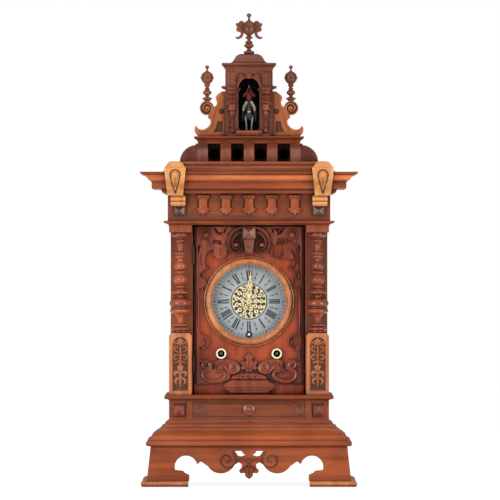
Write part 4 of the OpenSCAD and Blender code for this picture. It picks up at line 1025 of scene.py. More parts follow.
def evaluated(holder: bpy.types.Object) -> bpy.types.Mesh:
    """Plain mesh of an object with its modifiers, after which the object is removed.

    Args:
        holder: the object, which isn't in the scene yet.

    Returns:
        The mesh.
    """
    bpy.context.scene.collection.objects.link(holder)
    bpy.context.view_layer.update()
    mesh = bpy.data.meshes.new_from_object(holder.evaluated_get(bpy.context.evaluated_depsgraph_get()))
    bpy.data.objects.remove(holder)
    return mesh


def relief(outlines: Sequence[Sequence[Point]], front: float, back: float,
           edge: float = 0.8) -> bpy.types.Mesh:
    """Upright carved plate with rounded edges, over outlines and the holes inside them.

    Args:
        outlines: closed outlines in X and Z, which don't cross.
        front: Y of its front.
        back: Y of its back.
        edge: radius of its edges.

    Returns:
        The mesh, in metres.
    """
    curve = bpy.data.curves.new("relief", "CURVE")
    curve.dimensions, curve.fill_mode = "2D", "BOTH"
    curve.extrude = ((back - front) / 2 - edge) * MM
    curve.bevel_depth, curve.bevel_resolution, curve.offset = edge * MM, 2, -edge * MM
    for outline in outlines:
        spline = curve.splines.new("POLY")
        spline.points.add(len(outline) - 1)
        for point, (x, z) in zip(spline.points, outline):
            point.co = (x * MM, z * MM, 0.0, 1.0)
        spline.use_cyclic_u = True
    mesh = evaluated(bpy.data.objects.new("relief", curve))
    stood_up(mesh, 0, (front + back) / 2, 0)
    tidy_mesh(mesh)
    return mesh


def gather(meshes: Sequence[bpy.types.Mesh]) -> bpy.types.Mesh:
    """Joins meshes into one, with its edges sharpened by angle.

    Args:
        meshes: the meshes, in place.

    Returns:
        The joined mesh.
    """
    bm = bmesh.new()
    for mesh in meshes:
        bm.from_mesh(mesh)
    made = bpy.data.meshes.new("gathered")
    bm.to_mesh(made)
    bm.free()
    made.shade_smooth()
    made.set_sharp_from_angle(angle=math.radians(35))
    return made


class Repeater:
    """Geometry Nodes tree that repeats an item round a ring."""

    def __init__(self) -> None:
        """Builds the tree."""
        self.tree = bpy.data.node_groups.new("repeat_ring", "GeometryNodeTree")
        self.ids: dict[str, str] = {}
        self._socket("Geometry", "NodeSocketGeometry")
        for key, socket in (("Item", "Object"), ("Material", "Material"), ("Count", "Int"),
                            ("Radius", "Float"), ("Turn", "Float"), ("Size", "Float")):
            self._socket(key, "NodeSocket" + socket)
        self.tree.interface.new_socket("Geometry", in_out="OUTPUT", socket_type="NodeSocketGeometry")
        source = self.tree.nodes.new("NodeGroupInput").outputs
        item = self._node(
            "GeometryNodeObjectInfo", {"transform_space": "ORIGINAL"}, {"Object": source["Item"]}, "Geometry"
        )
        points = self._node("GeometryNodeMeshCircle", {},
                            {"Vertices": source["Count"], "Radius": source["Radius"]})
        share = self._maths("DIVIDE", TURN, source["Count"])
        index = self._node("GeometryNodeInputIndex", {}, {})
        angle = self._maths("ADD", self._maths("MULTIPLY", index, share), source["Turn"])
        turn = self._node("ShaderNodeCombineXYZ", {}, {2: angle})
        copies = self._node(
            "GeometryNodeInstanceOnPoints", {},
            {"Points": points, "Instance": item, "Rotation": turn, "Scale": source["Size"]},
        )
        real = self._node("GeometryNodeRealizeInstances", {}, {"Geometry": copies})
        done = self._node("GeometryNodeSetMaterial", {}, {"Geometry": real, "Material": source["Material"]})
        self.tree.links.new(done, self.tree.nodes.new("NodeGroupOutput").inputs[0])

    def _socket(self, name: str, kind: str) -> None:
        """Adds a named input."""
        self.ids[name] = self.tree.interface.new_socket(name, in_out="INPUT", socket_type=kind).identifier

    def _node(
        self, kind: str, settings: dict[str, object], inputs: dict[object, object], output: object = 0
    ) -> bpy.types.NodeSocket:
        """Adds a node.

        Args:
            kind: the node's type.
            settings: its properties.
            inputs: values or links of its sockets, by name or index.
            output: name or index of the socket that is returned.

        Returns:
            The chosen output.
        """
        made = self.tree.nodes.new(kind)
        for key, setting in settings.items():
            setattr(made, key, setting)
        for key, given in inputs.items():
            if isinstance(given, bpy.types.NodeSocket):
                self.tree.links.new(given, made.inputs[key])
            else:
                made.inputs[key].default_value = given
        return made.outputs[output]

    def _maths(self, operation: str, first: object, second: object) -> bpy.types.NodeSocket:
        """Adds a Math node."""
        return self._node("ShaderNodeMath", {"operation": operation}, {0: first, 1: second})

    def mesh(
        self,
        item: bpy.types.Mesh,
        material: bpy.types.Material,
        count: int = 1,
        radius: float = 0.0,
        turn: float = 0.0,
        size: float = 1.0,
    ) -> bpy.types.Mesh:
        """Repeats an item round a ring that lies flat.

        Args:
            item: its mesh, about the origin.
            material: the material of the result.
            count: how many there are.
            radius: the ring's radius in millimetres.
            turn: an extra turn of each one about Z, in radians.
            size: scale of each one.

        Returns:
            One plain mesh.
        """
        source = bpy.data.objects.new("repeat_item", item)
        bpy.context.scene.collection.objects.link(source)
        holder = bpy.data.objects.new("repeat_holder", bpy.data.meshes.new("ring"))
        modifier = holder.modifiers.new("repeat", "NODES")
        modifier.node_group = self.tree
        for key, given in (("Item", source), ("Material", material), ("Count", count),
                           ("Radius", radius * MM), ("Turn", turn), ("Size", size)):
            modifier[self.ids[key]] = given
        mesh = evaluated(holder)
        bpy.data.objects.remove(source)
        return mesh


def placed(origin: Point3, path: Sequence[Point3], side: int = 1) -> list[Point3]:
    """A path measured from an origin, mirrored in X where the side is -1."""
    return [(origin[0] + side * x, origin[1] + y, origin[2] + z) for x, y, z in path]


def stood_up(mesh: bpy.types.Mesh, x: float, y: float, z: float) -> bpy.types.Mesh:
    """Turns a mesh made flat in X and Y to stand in X and Z, its top to the front, at a place."""
    mesh.transform(Matrix.Translation((x * MM, y * MM, z * MM)) @ Matrix.Rotation(math.pi / 2, 4, "X"))
    return mesh


# Sub-assemblies


@dataclass
class Assembly:
    """Sub-assembly of the clock, which is built and dressed on the bench."""

    bench: Bench

    def build(self) -> None:
        """Makes the sub-assembly's pieces."""
        raise NotImplementedError


@dataclass
class Case(Assembly):
    """Wooden case from its feet to the gallery, as its boards and mouldings."""

    # The wind chest takes the dark walnut as painted shade, for the dark gap in which it shows.
    boards: tuple[tuple[str, Wood], ...] = (
        ("architrave", WALNUT), ("crown_board", WALNUT), ("side_boards", WALNUT_UP),
        ("back_frame", WALNUT_DARK), ("back_door", WALNUT_DARK), ("wind_chest", WALNUT_DARK),
    )
    rebate_low: tuple[float, ...] = (201.0, 527.0)
    rebate_high: float = 11.0
    rebate_half: float = 131.0
    back_y: float = 149.4
    plinth: Profile = (
        (-14, 720.5), (-2.4, 720.5), (-2.2, 722.6), (-1.2, 726.0), (0.8, 729.0), (3.6, 731.2), (5.2, 731.8),
        (5.2, 732.4), (6.0, 732.8), (6.0, 734.8), (5.4, 735.4), (-14, 735.4),
    )
    plinth_half: float = 110.0
    plinth_front: float = -36.0
    plinth_back: float = 94.0

    def build(self) -> None:
        """Refines the boards and mouldings of the frame."""
        for node, finish in self.boards:
            self.bench.soften(node, finish)
        # The trumpets are painted near-black as the shade in the gallery's gaps.
        self.bench.soften("trumpets", BRASS_PAINTED_SHADE, 0.0)
        # The frieze takes the darker drawer walnut, partly its own tone and partly painted shade under the
        # cornice.
        self.bench.soften("frieze", WALNUT_DRAWER)
        self._two_toned()
        strips = Shape()
        for z in self.rebate_low:
            strips.box((-self.rebate_half, self.back_y, z),
                       (self.rebate_half, self.back_y + 1.5, z + self.rebate_high))
        self.bench.fit("back_rebates", strips, WALNUT_DARK, "back_frame")
        plinth = Shape().moulding(self.plinth, self.plinth_half, self.plinth_front, self.plinth_back)
        plinth.box((-97.0, -23.0, 720.6), (97.0, 93.9, 735.3))
        plinth.box((-97.0, 80.0, 713.0), (97.0, 85.8, 721.0))
        self.bench.stand_in("turret_plinth_fine", plinth, WALNUT, "turret_plinth")

    def _two_toned(self) -> None:
        """Splits two nodes where the wood changes its tone, by the middle of each face in metres."""
        splits = (
            ("pilaster_boards", "capital_blocks", WALNUT_WARM, WALNUT_UP,
             lambda p: p.z > 0.5322 and p.y < -0.045),
            ("gallery_ribs", "front_ribs", WALNUT_UP, WALNUT_BROWN,
             lambda p: abs(p.x) < 0.062 and p.y < 0.0),
        )
        for node, name, chosen, other, take in splits:
            self.bench.soften(node, other, take=lambda p: not take(p))
            self.bench.soften(node, chosen, take=take, name=name)


@dataclass
class Studio:
    """Floor, lights and camera of a plain pale studio."""

    width: float = 1.05
    distance: float = 12.0
    eye: Point3 = (0.0021, -0.09, 0.4956)
    floor_half: float = 6.0
    ambient: float = 0.55
    glossy_dim: float = 0.3
    lamps: tuple[tuple[str, Point3, Point3, float, float], ...] = (
        ("left_softbox", (-1.8, -2.2, 0.9), (0.0, 0.0, 0.5), 1.3, 44.0),
        ("right_softbox", (2.0, -2.0, 0.7), (0.0, 0.0, 0.45), 1.1, 34.0),
        ("top_softbox", (0.0, -0.9, 2.6), (0.0, 0.0, 0.6), 1.6, 14.0),
        ("back_softbox", (0.6, 2.4, 1.8), (0.0, 0.0, 0.5), 1.6, 30.0),
    )

    def build(self) -> None:
        """Sets the stage."""
        self._camera()
        self._world()
        self._floor()
        for name, place, target, size, power in self.lamps:
            lamp = bpy.data.lights.new(name, "AREA")
            lamp.shape, lamp.size, lamp.size_y, lamp.energy = "RECTANGLE", size, size * 1.4, power
            made = bpy.data.objects.new(name, lamp)
            made.location = place
            made.visible_glossy = name != "back_softbox"
            made.rotation_euler = (Vector(target) - Vector(place)).to_track_quat("-Z", "Y").to_euler()
            bpy.context.scene.collection.objects.link(made)
        bpy.context.scene.view_settings.view_transform = "Standard"
        LOG.info("studio set")

    def _camera(self) -> None:
        """Places the camera level with the middle of the clock."""
        data = bpy.data.cameras.new("photo_camera")
        data.lens = data.sensor_width * self.distance / self.width
        data.clip_end = 100.0
        camera = bpy.data.objects.new("photo_camera", data)
        camera.location = (self.eye[0], self.eye[1] - self.distance, self.eye[2])
        camera.rotation_euler = (math.pi / 2, 0.0, 0.0)
        bpy.context.scene.collection.objects.link(camera)
        bpy.context.scene.camera = camera

    def _world(self) -> None:
        """White to the camera, a soft grey light otherwise and a dim one in reflections."""
        world = bpy.data.worlds.new("studio")
        world.use_nodes = True
        bpy.context.scene.world = world
        nodes, links = world.node_tree.nodes, world.node_tree.links
        background = nodes["Background"]
        background.inputs["Color"].default_value = (1.0, 1.0, 1.0, 1.0)
        path = nodes.new("ShaderNodeLightPath")
        seen = nodes.new("ShaderNodeMath")
        seen.operation = "MAXIMUM"
        links.new(path.outputs["Is Camera Ray"], seen.inputs[0])
        links.new(path.outputs["Is Transmission Ray"], seen.inputs[1])
        strength = nodes.new("ShaderNodeMapRange")
        strength.inputs["To Min"].default_value = self.ambient
        strength.inputs["To Max"].default_value = 1.0
        links.new(seen.outputs[0], strength.inputs["Value"])
        dimmed = nodes.new("ShaderNodeMath")
        dimmed.operation = "MULTIPLY_ADD"
        links.new(path.outputs["Is Glossy Ray"], dimmed.inputs[0])
        dimmed.inputs[1].default_value = -self.glossy_dim
        links.new(strength.outputs[0], dimmed.inputs[2])
        links.new(dimmed.outputs[0], background.inputs["Strength"])

    def _floor(self) -> None:
        """Lays a plain pale floor."""
        mesh = bpy.data.meshes.new("floor")
        r = self.floor_half
        mesh.from_pydata([(-r, -r, 0), (r, -r, 0), (r, r, 0), (-r, r, 0)], [], [[0, 1, 2, 3]])
        floor = bpy.data.objects.new("floor", mesh)
        bpy.context.scene.collection.objects.link(floor)
        s = Shade("floor_pale")
        s.set(Base_Color=linear((238, 238, 238)), Roughness=0.9)
        glow = s.node("ShaderNodeEmission", {}, {"Color": (1.0, 1.0, 1.0, 1.0), "Strength": 1.2})
        path = s.node("ShaderNodeLightPath", {}, {})
        mixed = s.node(
            "ShaderNodeMixShader", {}, {0: path * 0.75, 1: Value(s, s.shader.outputs[0]), 2: glow}
        )
        s.join(s.tree.nodes["Material Output"].inputs["Surface"], mixed)
        mesh.materials.append(s.material)


@dataclass
class DoorCarving(Assembly):
    """Strapwork, scrolls, palmette and crest on the front door."""

    outline: Outline = (
        (-17.8, 545.1, 1), (-27.7, 538.1), (-36.2, 527.0), (-40.1, 513.4), (-38.6, 498.5), (-34.7, 490.8),
        (-40.6, 494.3), (-48.1, 495.8, 1), (-46.8, 487.3), (-52.5, 479.9), (-61.9, 476.9), (-70.4, 479.9),
        (-75.3, 487.3), (-73.8, 497.2, 1), (-84.2, 494.0), (-91.7, 483.6), (-93.9, 472.0), (-90.7, 461.3),
        (-80.0, 456.4, 1), (-93.6, 453.9), (-103.6, 444.0), (-101.1, 437.8), (-92.4, 434.1), (-89.9, 427.9),
        (-90.7, 420.4), (-104.8, 413.8, 1), (-105.5, 326.3, 1), (-102.1, 318.4), (-90.9, 315.9),
        (-83.7, 308.5), (-82.7, 300.3), (-86.7, 292.1), (-95.9, 286.7), (-105.0, 280.5, 1),
        (-105.0, 266.3, 1), (-97.6, 262.9), (-89.7, 264.9), (-81.0, 260.6), (-78.3, 252.0), (-76.3, 242.6),
        (-71.3, 249.5), (-71.1, 258.9), (-64.9, 263.9), (-51.3, 265.8), (-37.7, 263.9), (-25.3, 259.4),
        (-19.3, 250.7), (-20.8, 241.6), (-27.7, 235.9), (-40.6, 235.1, 1), (-37.7, 223.5, 1),
        (-67.4, 212.3, 1), (-111.5, 212.3, 1), (-111.5, 545.1, 1),
    )
    holes: tuple[Outline, ...] = (
        ((-74.3, 542.8, 1), (-67.4, 538.9), (-64.4, 533.9), (-57.5, 532.9), (-52.5, 537.4),
         (-47.1, 541.8, 1), (-50.5, 531.9), (-57.5, 528.0), (-64.9, 528.7), (-70.9, 534.4)),
        ((-57.7, 520.8, 1), (-60.2, 516.1), (-71.3, 517.1), (-76.8, 518.3, 1), (-76.3, 510.6, 1),
         (-67.6, 509.6), (-61.4, 507.2), (-56.5, 508.4, 1), (-59.0, 513.4)),
        ((-108.0, 504.2, 1), (-104.1, 507.2), (-102.1, 504.2), (-104.6, 494.8), (-107.3, 484.4, 1),
         (-108.5, 494.8)),
        ((-105.6, 289.0), (-103.0, 291.6), (-100.4, 289.0), (-103.0, 285.4)),
        ((-105.6, 256.4), (-103.0, 259.0), (-100.4, 256.4), (-103.0, 252.8)),
    )
    lower_scroll: Profile = (
        (-90.9, 254.4), (-87.2, 250.7), (-92.2, 248.0), (-96.6, 253.2), (-93.4, 260.1), (-85.2, 259.4),
        (-81.8, 251.5), (-87.2, 243.3), (-95.1, 239.6), (-96.6, 231.7), (-90.9, 223.5), (-78.5, 219.3),
        (-64.9, 221.7), (-54.5, 227.2), (-51.0, 235.1), (-57.0, 241.6), (-64.4, 240.1), (-65.4, 234.6),
    )
    inner_scroll: Profile = (
        (-33.9, 249.0), (-30.7, 251.5), (-28.2, 247.0), (-33.2, 243.5), (-38.6, 247.0), (-38.1, 253.9),
        (-30.2, 256.4), (-23.3, 250.7), (-24.8, 241.6), (-35.2, 237.6), (-44.6, 242.6), (-52.5, 253.2),
        (-60.0, 256.4), (-67.4, 251.5), (-69.4, 244.5),
    )
    palmette: Outline = (
        (0.0, 278.7, 1), (-8.9, 270.5), (-5.4, 264.9), (-6.9, 260.6), (-15.4, 261.9), (-17.8, 256.4),
        (-13.4, 251.5), (-18.3, 248.0), (-14.1, 242.6), (-7.9, 244.5), (-5.4, 238.8, 1),
    )
    horn: Profile = (
        (8.2, 536.9), (21.8, 536.4), (33.0, 528.2), (38.7, 515.8), (37.9, 503.4), (31.7, 494.8),
        (23.0, 495.3), (17.6, 502.2), (19.3, 510.9), (26.8, 514.1), (31.2, 508.4), (28.2, 504.2),
    )

    def build(self) -> None:
        """Carves the door's overlay and its crest."""
        self.bench.soften("front_door", WALNUT_PANEL, 0.5, take=lambda p: not self._is_hinge(p))
        self.bench.soften("front_door", HINGE_BROWN, 0.15, take=self._is_hinge, name="door_knuckles_fine")
        self.bench.soften("door_hinges", HINGE_BROWN, 0.15)
        plates = []
        for turn in (list, flip):
            lines = [flow(turn(self.outline))] + [flow(turn(h)) for h in self.holes]
            plates.append(relief(lines, FRET_Y, PANEL_Y + 0.1, 1.3))
        leaf = flow(list(self.palmette) + flip(list(reversed(self.palmette[1:]))), steps=4)
        plates.append(relief([leaf], FRET_Y - 1.5, PANEL_Y + 0.1, 1.2))
        self.bench.stand_in("door_carving_fine", gather(plates), WALNUT_CARVED, "door_carving")
        self._straps()
        self._foot()
        self._bosses()
        self._crest()

    @staticmethod
    def _is_hinge(p: Vector) -> bool:
        """Whether a point in metres lies on the door's brass knuckles."""
        return p.x < -0.1127 and p.y < -0.0319 and any(abs(p.z - z) < 0.0185 for z in (0.2546, 0.4852))

    def _straps(self) -> None:
        """Raised scrolls and veins on the overlay."""
        shape = Shape()
        for path, widths in ((self.lower_scroll, (2.4, 2.0, 2.6)), (self.inner_scroll, (2.0, 1.6, 2.8))):
            line = flow(path, False, 3)
            shape.strap(line, taper(len(line), *widths), FRET_Y - 2.4, FRET_Y + 2, HOLLOWED)
            x, z = path[0]
            shape.turned((x, FRET_Y, z), Axis.DEEP, [(2.2, 1), (2.2, -2.2), (1.32, -3.4), (0, -3.8)], 20)
        veins = (
            ((-60.5, 502.0), (-61.0, 492.0), (-59.0, 483.0)),
            ((-96.0, 536.0), (-101.0, 515.0), (-97.0, 497.0), (-101.5, 480.0), (-99.0, 462.0)),
            ((-97.5, 452.0), (-96.0, 444.0), (-99.0, 438.0)),
            ((-107.5, 410.0), (-108.2, 370.0), (-107.5, 330.0)),
            ((-98.0, 309.0), (-90.0, 304.0), (-90.5, 297.0), (-97.0, 293.5)),
            ((-84.0, 536.0), (-80.0, 526.0), (-84.0, 515.0), (-80.0, 505.0)),
            ((-45.0, 533.0), (-45.5, 520.0), (-52.0, 503.0)),
            ((-100.0, 226.0), (-84.0, 215.5), (-62.0, 215.0)),
        )
        for path in veins:
            shape.vein(path, (0.5, 0.4, 1.5), FRET_Y - 1.5, FRET_Y + 1, 5)
        for tip, top in ((9.0, 254.0), (11.0, 262.0)):
            shape.vein(((0.0, 242.0), (tip * 0.6, 250.0), (tip, top)), (0.8, 0.5, 1.2), FRET_Y - 3.0, FRET_Y)
        shape.strap([(0.0, 240.0), (0.0, 256.0), (0.0, 274.0)], [1.0, 2.0, 0.5], FRET_Y - 3.4, FRET_Y,
                    RIDGED)
        shape.mirrored()
        self.bench.fit("door_scrolls", shape, WALNUT_CARVED, "front_door")

    def _foot(self) -> None:
        """Broken pediment, its small motif and the stepped plinth under it."""
        shape = Shape()
        shape.plate([(-38, 223), (38, 223), (35, 229), (23, 234), (0, 236), (-23, 234), (-35, 229)], -47,
                    PANEL_Y, 1.0)
        shape.plate([(-53.4, 205), (53.4, 205), (53.4, 212), (38, 221), (-38, 221), (-53.4, 212)], -48,
                    PANEL_Y, 1.0)
        shape.box((-50, -46.5, 201), (50, PANEL_Y, 205.4))
        shape.plate(upright(0, 40, 194, 201.4, 48), -45, PANEL_Y, 0.8)
        for side in (-1, 1):
            line = spiral(side * 13.0, 226.5, 1.2, 5.2, 90, side * 1.1, 20)
            shape.strap(line, taper(len(line), 0.8, 1.3), -49.2, -46, ROUNDED)
        shape.turned((0, -46.5, 228.5), Axis.DEEP, [(3.4, 0), (3.4, -1.6), (2, -3.2), (0, -3.6)], 24)
        self.bench.fit("door_plinth", shape, WALNUT_CARVED, "front_door")

    def _bosses(self) -> None:
        """Turned buttons at the door's upper corners."""
        shape = Shape()
        profile = [(12.2, 1), (12.2, -1.5), (11, -2.6), (9.6, -2), (8.6, -1.2), (7.2, -1.2), (6.7, -2.4),
                   (6.6, -4.4), (5.4, -6.6), (3, -7.8), (0, -8.2)]
        for x in (-91.0, 91.0):
            shape.turned((x, FRET_Y, 528.0), Axis.DEEP, profile, 40)
        self.bench.fit("door_bosses", shape, WALNUT_CARVED, "front_door")

    def _crest(self) -> None:
        """Ram's horn volutes beside a faceted keystone."""
        shape = Shape()
        path = flow(self.horn, False, 4)
        count = len(path)
        widths = [1.3 + 7.6 * (1 - i / (count - 1)) ** 0.9 for i in range(count)]
        shape.strap(path, widths, FRET_Y - 9.5, FRET_Y + 7, HOLLOWED)
        shape.turned((27.4, FRET_Y - 5, 506.4), Axis.DEEP,
                     [(0, 8), (4.4, 4), (5.4, 0), (4.6, -3.6), (2.4, -5.6), (0, -6)], 24)
        tail = ((35.0, 498.0), (28.0, 491.0), (22.0, 488.5))
        shape.vein(tail, (3.4, 0.5, 1.0), FRET_Y - 3.5, FRET_Y + 7, 5)
        shape.mirrored()
        front = -53.4
        block = upright(0, 14.0, 519.5, 545.8)
        shape.plate(block, front, PANEL_Y, 0.8)
        shape.pyramid(inset(block, 1.6), front + 0.1, 6.0)
        key = Shape().plate(upright(0, 8.0, 488.4, 518.6, 11.8), front + 1, PANEL_Y, 0.8)
        key.pyramid(upright(0, 9.6, 505.0, 517.4, 10.4), front + 1.1, 3.4)
        key.pyramid(upright(0, 6.8, 490.0, 503.8, 8.4), front + 1.1, 3.6)
        self.bench.stand_in("crest_fine", shape, WALNUT_BROWN, "crest")
        self.bench.fit("crest_key", key, WALNUT_BROWN, "front_door")


LETTERS: dict[str, tuple[float, tuple[Point3, ...]]] = {
    "I": (3.3, ((0.0, 0.0, 1.25),)),
    "V": (6.0, ((-1.9, 0.4, 1.25), (2.2, 0.4, 0.45))),
    "X": (6.2, ((-2.1, 2.1, 1.25), (2.1, -2.1, 0.45))),
}


@dataclass
class DialWork(Assembly):
    """Pewter-grey dial with its figures, gilt centre, hands and winding rings."""

    figures: tuple[str, ...] = ("XII", "I", "II", "III", "IIII", "V", "VI", "VII", "VIII", "IX", "X", "XI")
    low_r: float = 43.0
    high_r: float = 65.0
    print_y: float = DIAL_Y - 0.16
    hole_shade_y: float = -8.1

    def build(self) -> None:
        """Makes the dial and what is printed and fixed on it."""
        self.bench.soften("dial", PEWTER, 0.2)
        ink = Shape()
        for hour, text in enumerate(self.figures):
            self._numeral(ink, text, -TURN * hour / 12)
        self.bench.fit("dial_numerals", ink, INK, "dial")
        self._track()
        self._centre()
        self._hands()
        frame = Shape()
        frame.turned((0, 0, DIAL_Z), Axis.DEEP, [
            (95.3, -32.1), (95.3, -36.0), (94.8, -37.2), (93.6, -37.6), (92.7, -37.0), (92.2, -36.4),
            (91.4, -37.8), (90.8, -40.6), (89.4, -43.2), (87.2, -44.9), (84.8, -45.4), (82.6, -44.8),
            (80.8, -43.2), (79.8, -41.4), (79.0, -41.2), (78.4, -40.4), (78.0, -38.0), (77.6, -32.1)], 128)
        self.bench.stand_in("bezel_fine", frame, WALNUT_BEZEL, "bezel")
        rings = Shape()
        # Black discs behind the winding holes, as painted shade for the depth of the holes.
        hole_shade_discs = Shape()
        for x in (-WIND_X, WIND_X):
            rings.turned(
                (x, FRET_Y, WIND_Z), Axis.DEEP,
                [(7.5, 3), (7.5, -1.2), (8.1, -2.0), (9.6, -2.2), (10.6, -1.6), (11.0, -0.6), (11.0, 3)], 48,
            )
            disc = [(3.5, 0), (3.5, -0.4), (14, -0.4), (14, 0)]
            hole_shade_discs.turned((x, self.hole_shade_y, WIND_Z), Axis.DEEP, disc, 32)
        self.bench.fit("winding_shades", hole_shade_discs, LINING, "dial")
        self.bench.stand_in("winding_rings_fine", rings, BONE, "winding_rings")
        ring = Shape()
        ring.turned((0, DIAL_Y, 317.25), Axis.DEEP,
                    [(3.4, 0), (3.4, -2.2), (6.0, -2.2), (6.6, -1.4), (6.6, 0)], 40)
        self.bench.fit("dial_collet", ring, LINING, "dial")

    def _hands(self) -> None:
        """Pierced gilt hands, the minute hand on its softened cannon pipe."""
        hour = [(2.2, 4.0, 1), (2.6, 9.0), (6.2, 15.0), (5.2, 20.0), (2.2, 24.0), (5.6, 29.0), (5.0, 34.0),
                (1.8, 38.0), (1.4, 41.0), (0.0, 45.6, 1)]
        minute = [(1.9, 4.0, 1), (2.0, 9.0), (4.9, 17.0), (4.0, 24.0), (1.8, 29.0), (4.6, 35.0), (4.0, 42.0),
                  (1.6, 47.0), (2.7, 51.0), (1.2, 55.0), (0.7, 60.0), (0.0, 68.4, 1)]
        slots = (((0.0, 12.0), (2.6, 16.0), (0.0, 21.6)), ((0.0, 27.0), (2.4, 31.6), (0.0, 36.4)))
        long_slots = [[(x, z + 4 + k * 4) for x, z in s] for k, s in enumerate(slots)]
        plans = (("hour_hand", hour, slots, 6.4, 4.2, -18.0, -17.0, 0.0),
                 ("minute_hand", minute, long_slots, 5.2, 1.3, -21.4, -20.5, -3.3))
        for node, half, holes, hub, bore, front, back, tilt in plans:
            lines = [flow([*half, *flip(list(reversed(half[:-1])))], True, 4)]
            for hole in holes:
                lines.append(flow(list(hole) + [(-hole[1][0], hole[1][1])], True, 4))
            blade = relief(lines, front, back, 0.15)
            rise = front - back
            collar = [(bore, 0), (bore, rise), (hub - 0.4, rise), (hub, rise * 0.5), (hub, 0)]
            ring = Shape().turned((0, back, 0), Axis.DEEP, collar, 40)
            made = gather([blade, ring.mesh()])
            made.transform(Matrix.Rotation(math.radians(-tilt), 4, "Y"))
            made.transform(Matrix.Translation((0, 0, DIAL_Z * MM)))
            if node == "minute_hand":
                self.bench.soften(node, GILT, 0.1,
                                  take=lambda p: p.y > -0.0203 or math.hypot(p.x, p.z - 0.387) < 0.0019)
                self.bench.fit(node + "_blade", made, GILT_PALE, node)
            else:
                self.bench.stand_in(node + "_blade", made, GILT_PALE, node)

    def _numeral(self, ink: Shape, text: str, angle: float) -> None:
        """Adds one hour's figure, its head outwards.

        Args:
            ink: the shape it adds to.
            text: the figure's letters.
            angle: its turn in radians.
        """
        at = -sum(LETTERS[c][0] for c in text) / 2
        for c in text:
            wide, strokes = LETTERS[c]
            for head, foot, half in strokes:
                start = (at + wide / 2 + head, self.high_r)
                self._stroke(ink, angle, start, (at + wide / 2 + foot, self.low_r), half)
            for r in (self.low_r, self.high_r):
                self._stroke(ink, angle, (at + 0.35, r), (at + wide - 0.35, r), 0.4)
            at += wide

    def _stroke(self, ink: Shape, angle: float, start: Point, end: Point, half: float) -> None:
        """Adds one straight stroke, given across and outwards, and turned to its hour.

        Args:
            ink: the shape it adds to.
            angle: the figure's turn in radians.
            start: its first end.
            end: its other end.
            half: half its width.
        """
        c, s = math.cos(angle), math.sin(angle)
        ends = [(u * c - v * s, DIAL_Z + u * s + v * c) for u, v in (start, end)]
        ink.strap(ends, [half, half], self.print_y, DIAL_Y + 0.1, ((-1, 0), (-1, 1), (1, 1), (1, 0)), False)

    def _track(self) -> None:
        """Minute dots, five-minute stars and half-hour pendants, set out in rings."""
        material = self.bench.palette.of(INK)
        parts = []
        dot = Shape().box((-0.8, -1.0, -0.1), (0.8, 1.0, 0.1)).mesh()
        parts.append(self.bench.ring.mesh(dot, material, count=60, radius=70.4))
        parts.append(self.bench.ring.mesh(dot, material, count=60, radius=74.0))
        diamond = [(0, 1.9), (0.5, 0.5), (1.9, 0), (0.5, -0.5), (0, -1.9), (-0.5, -0.5), (-1.9, 0),
                   (-0.5, 0.5)]
        star = Shape().add([(x, y, h) for h in (-0.1, 0.12) for x, y in diamond],
                           [[7, 6, 5, 4, 3, 2, 1, 0], list(range(8, 16))]
                           + [[i, (i + 1) % 8, 8 + (i + 1) % 8, 8 + i] for i in range(8)]).mesh()
        parts.append(self.bench.ring.mesh(star, material, count=12, radius=72.2, size=1.35))
        pendant = Shape()
        pendant.box((-8, -0.4, -0.1), (6, 0.4, 0.1))
        for at, w, h in ((6.6, 2.4, 2.2), (2.4, 1.2, 1.2), (-3.2, 1.7, 2.4), (-7.6, 1.3, 1.6)):
            pendant.add([(at - w, 0, 0.11), (at, h, 0.11), (at + w, 0, 0.11), (at, -h, 0.11),
                         (at - w, 0, -0.1), (at, h, -0.1), (at + w, 0, -0.1), (at, -h, -0.1)],
                        [[0, 3, 2, 1], [4, 5, 6, 7], [0, 1, 5, 4], [1, 2, 6, 5], [2, 3, 7, 6], [3, 0, 4, 7]])
        halves = self.bench.ring.mesh(pendant.mesh(), material, count=12, radius=54.0)
        halves.transform(Matrix.Rotation(TURN / 24, 4, "Z"))
        parts.append(halves)
        track = stood_up(gather(parts), 0, DIAL_Y - 0.04, DIAL_Z)
        self.bench.fit("minute_track", track, INK, "dial")

    def _centre(self) -> None:
        """Gilt openwork centre of scrolls and leaves on a dark ground, inside a dark ring."""
        ground = Shape()
        for inner, outer, front, back in ((5.0, 36.0, -0.55, -0.3), (36.7, 38.4, -0.6, 0.1)):
            flat = [(inner, back), (inner, front), (outer, front), (outer, back)]
            ground.turned((0, DIAL_Y, DIAL_Z), Axis.DEEP, flat, 72)
        self.bench.fit("centre_ground", ground, INK, "dial")
        gilt = self.bench.palette.of(GILT_PALE)
        curl = Shape()
        line = spiral(0, 0, 0.5, 2.9, 40, 1.15, 18) + [(3.4, -0.6), (4.2, -1.8)]
        self._lie(curl, line, taper(len(line), 0.5, 0.5, 0.3), 0.6)
        bud = Shape()
        self._lie(bud, [(-2.2, 0), (0, 0), (2.2, 0)], [0.3, 1.2, 0.2], 0.7)
        parts = []
        for count, radius, turn, size, item in (
            (6, 9.8, 0.0, 1.5, curl), (9, 17.2, 2.2, 1.7, curl), (9, 13.6, 0.3, 1.0, bud),
            (13, 25.4, 0.4, 1.7, curl), (13, 21.4, 0.2, 1.0, bud), (18, 32.2, 0.1, 1.05, curl),
            (18, 33.6, 0.24, 0.9, bud),
        ):
            parts.append(self.bench.ring.mesh(item.mesh(), gilt, count=count, radius=radius, turn=turn,
                                              size=size))
        openwork = stood_up(gather(parts), 0, DIAL_Y - 0.5, DIAL_Z)
        self.bench.fit("centre_openwork", openwork, GILT_PALE, "dial")
        rim = Shape()
        rim.turned((0, DIAL_Y, DIAL_Z), Axis.DEEP, [(34.9, 0), (34.9, -1.2), (36.2, -1.2), (36.7, 0)], 72)
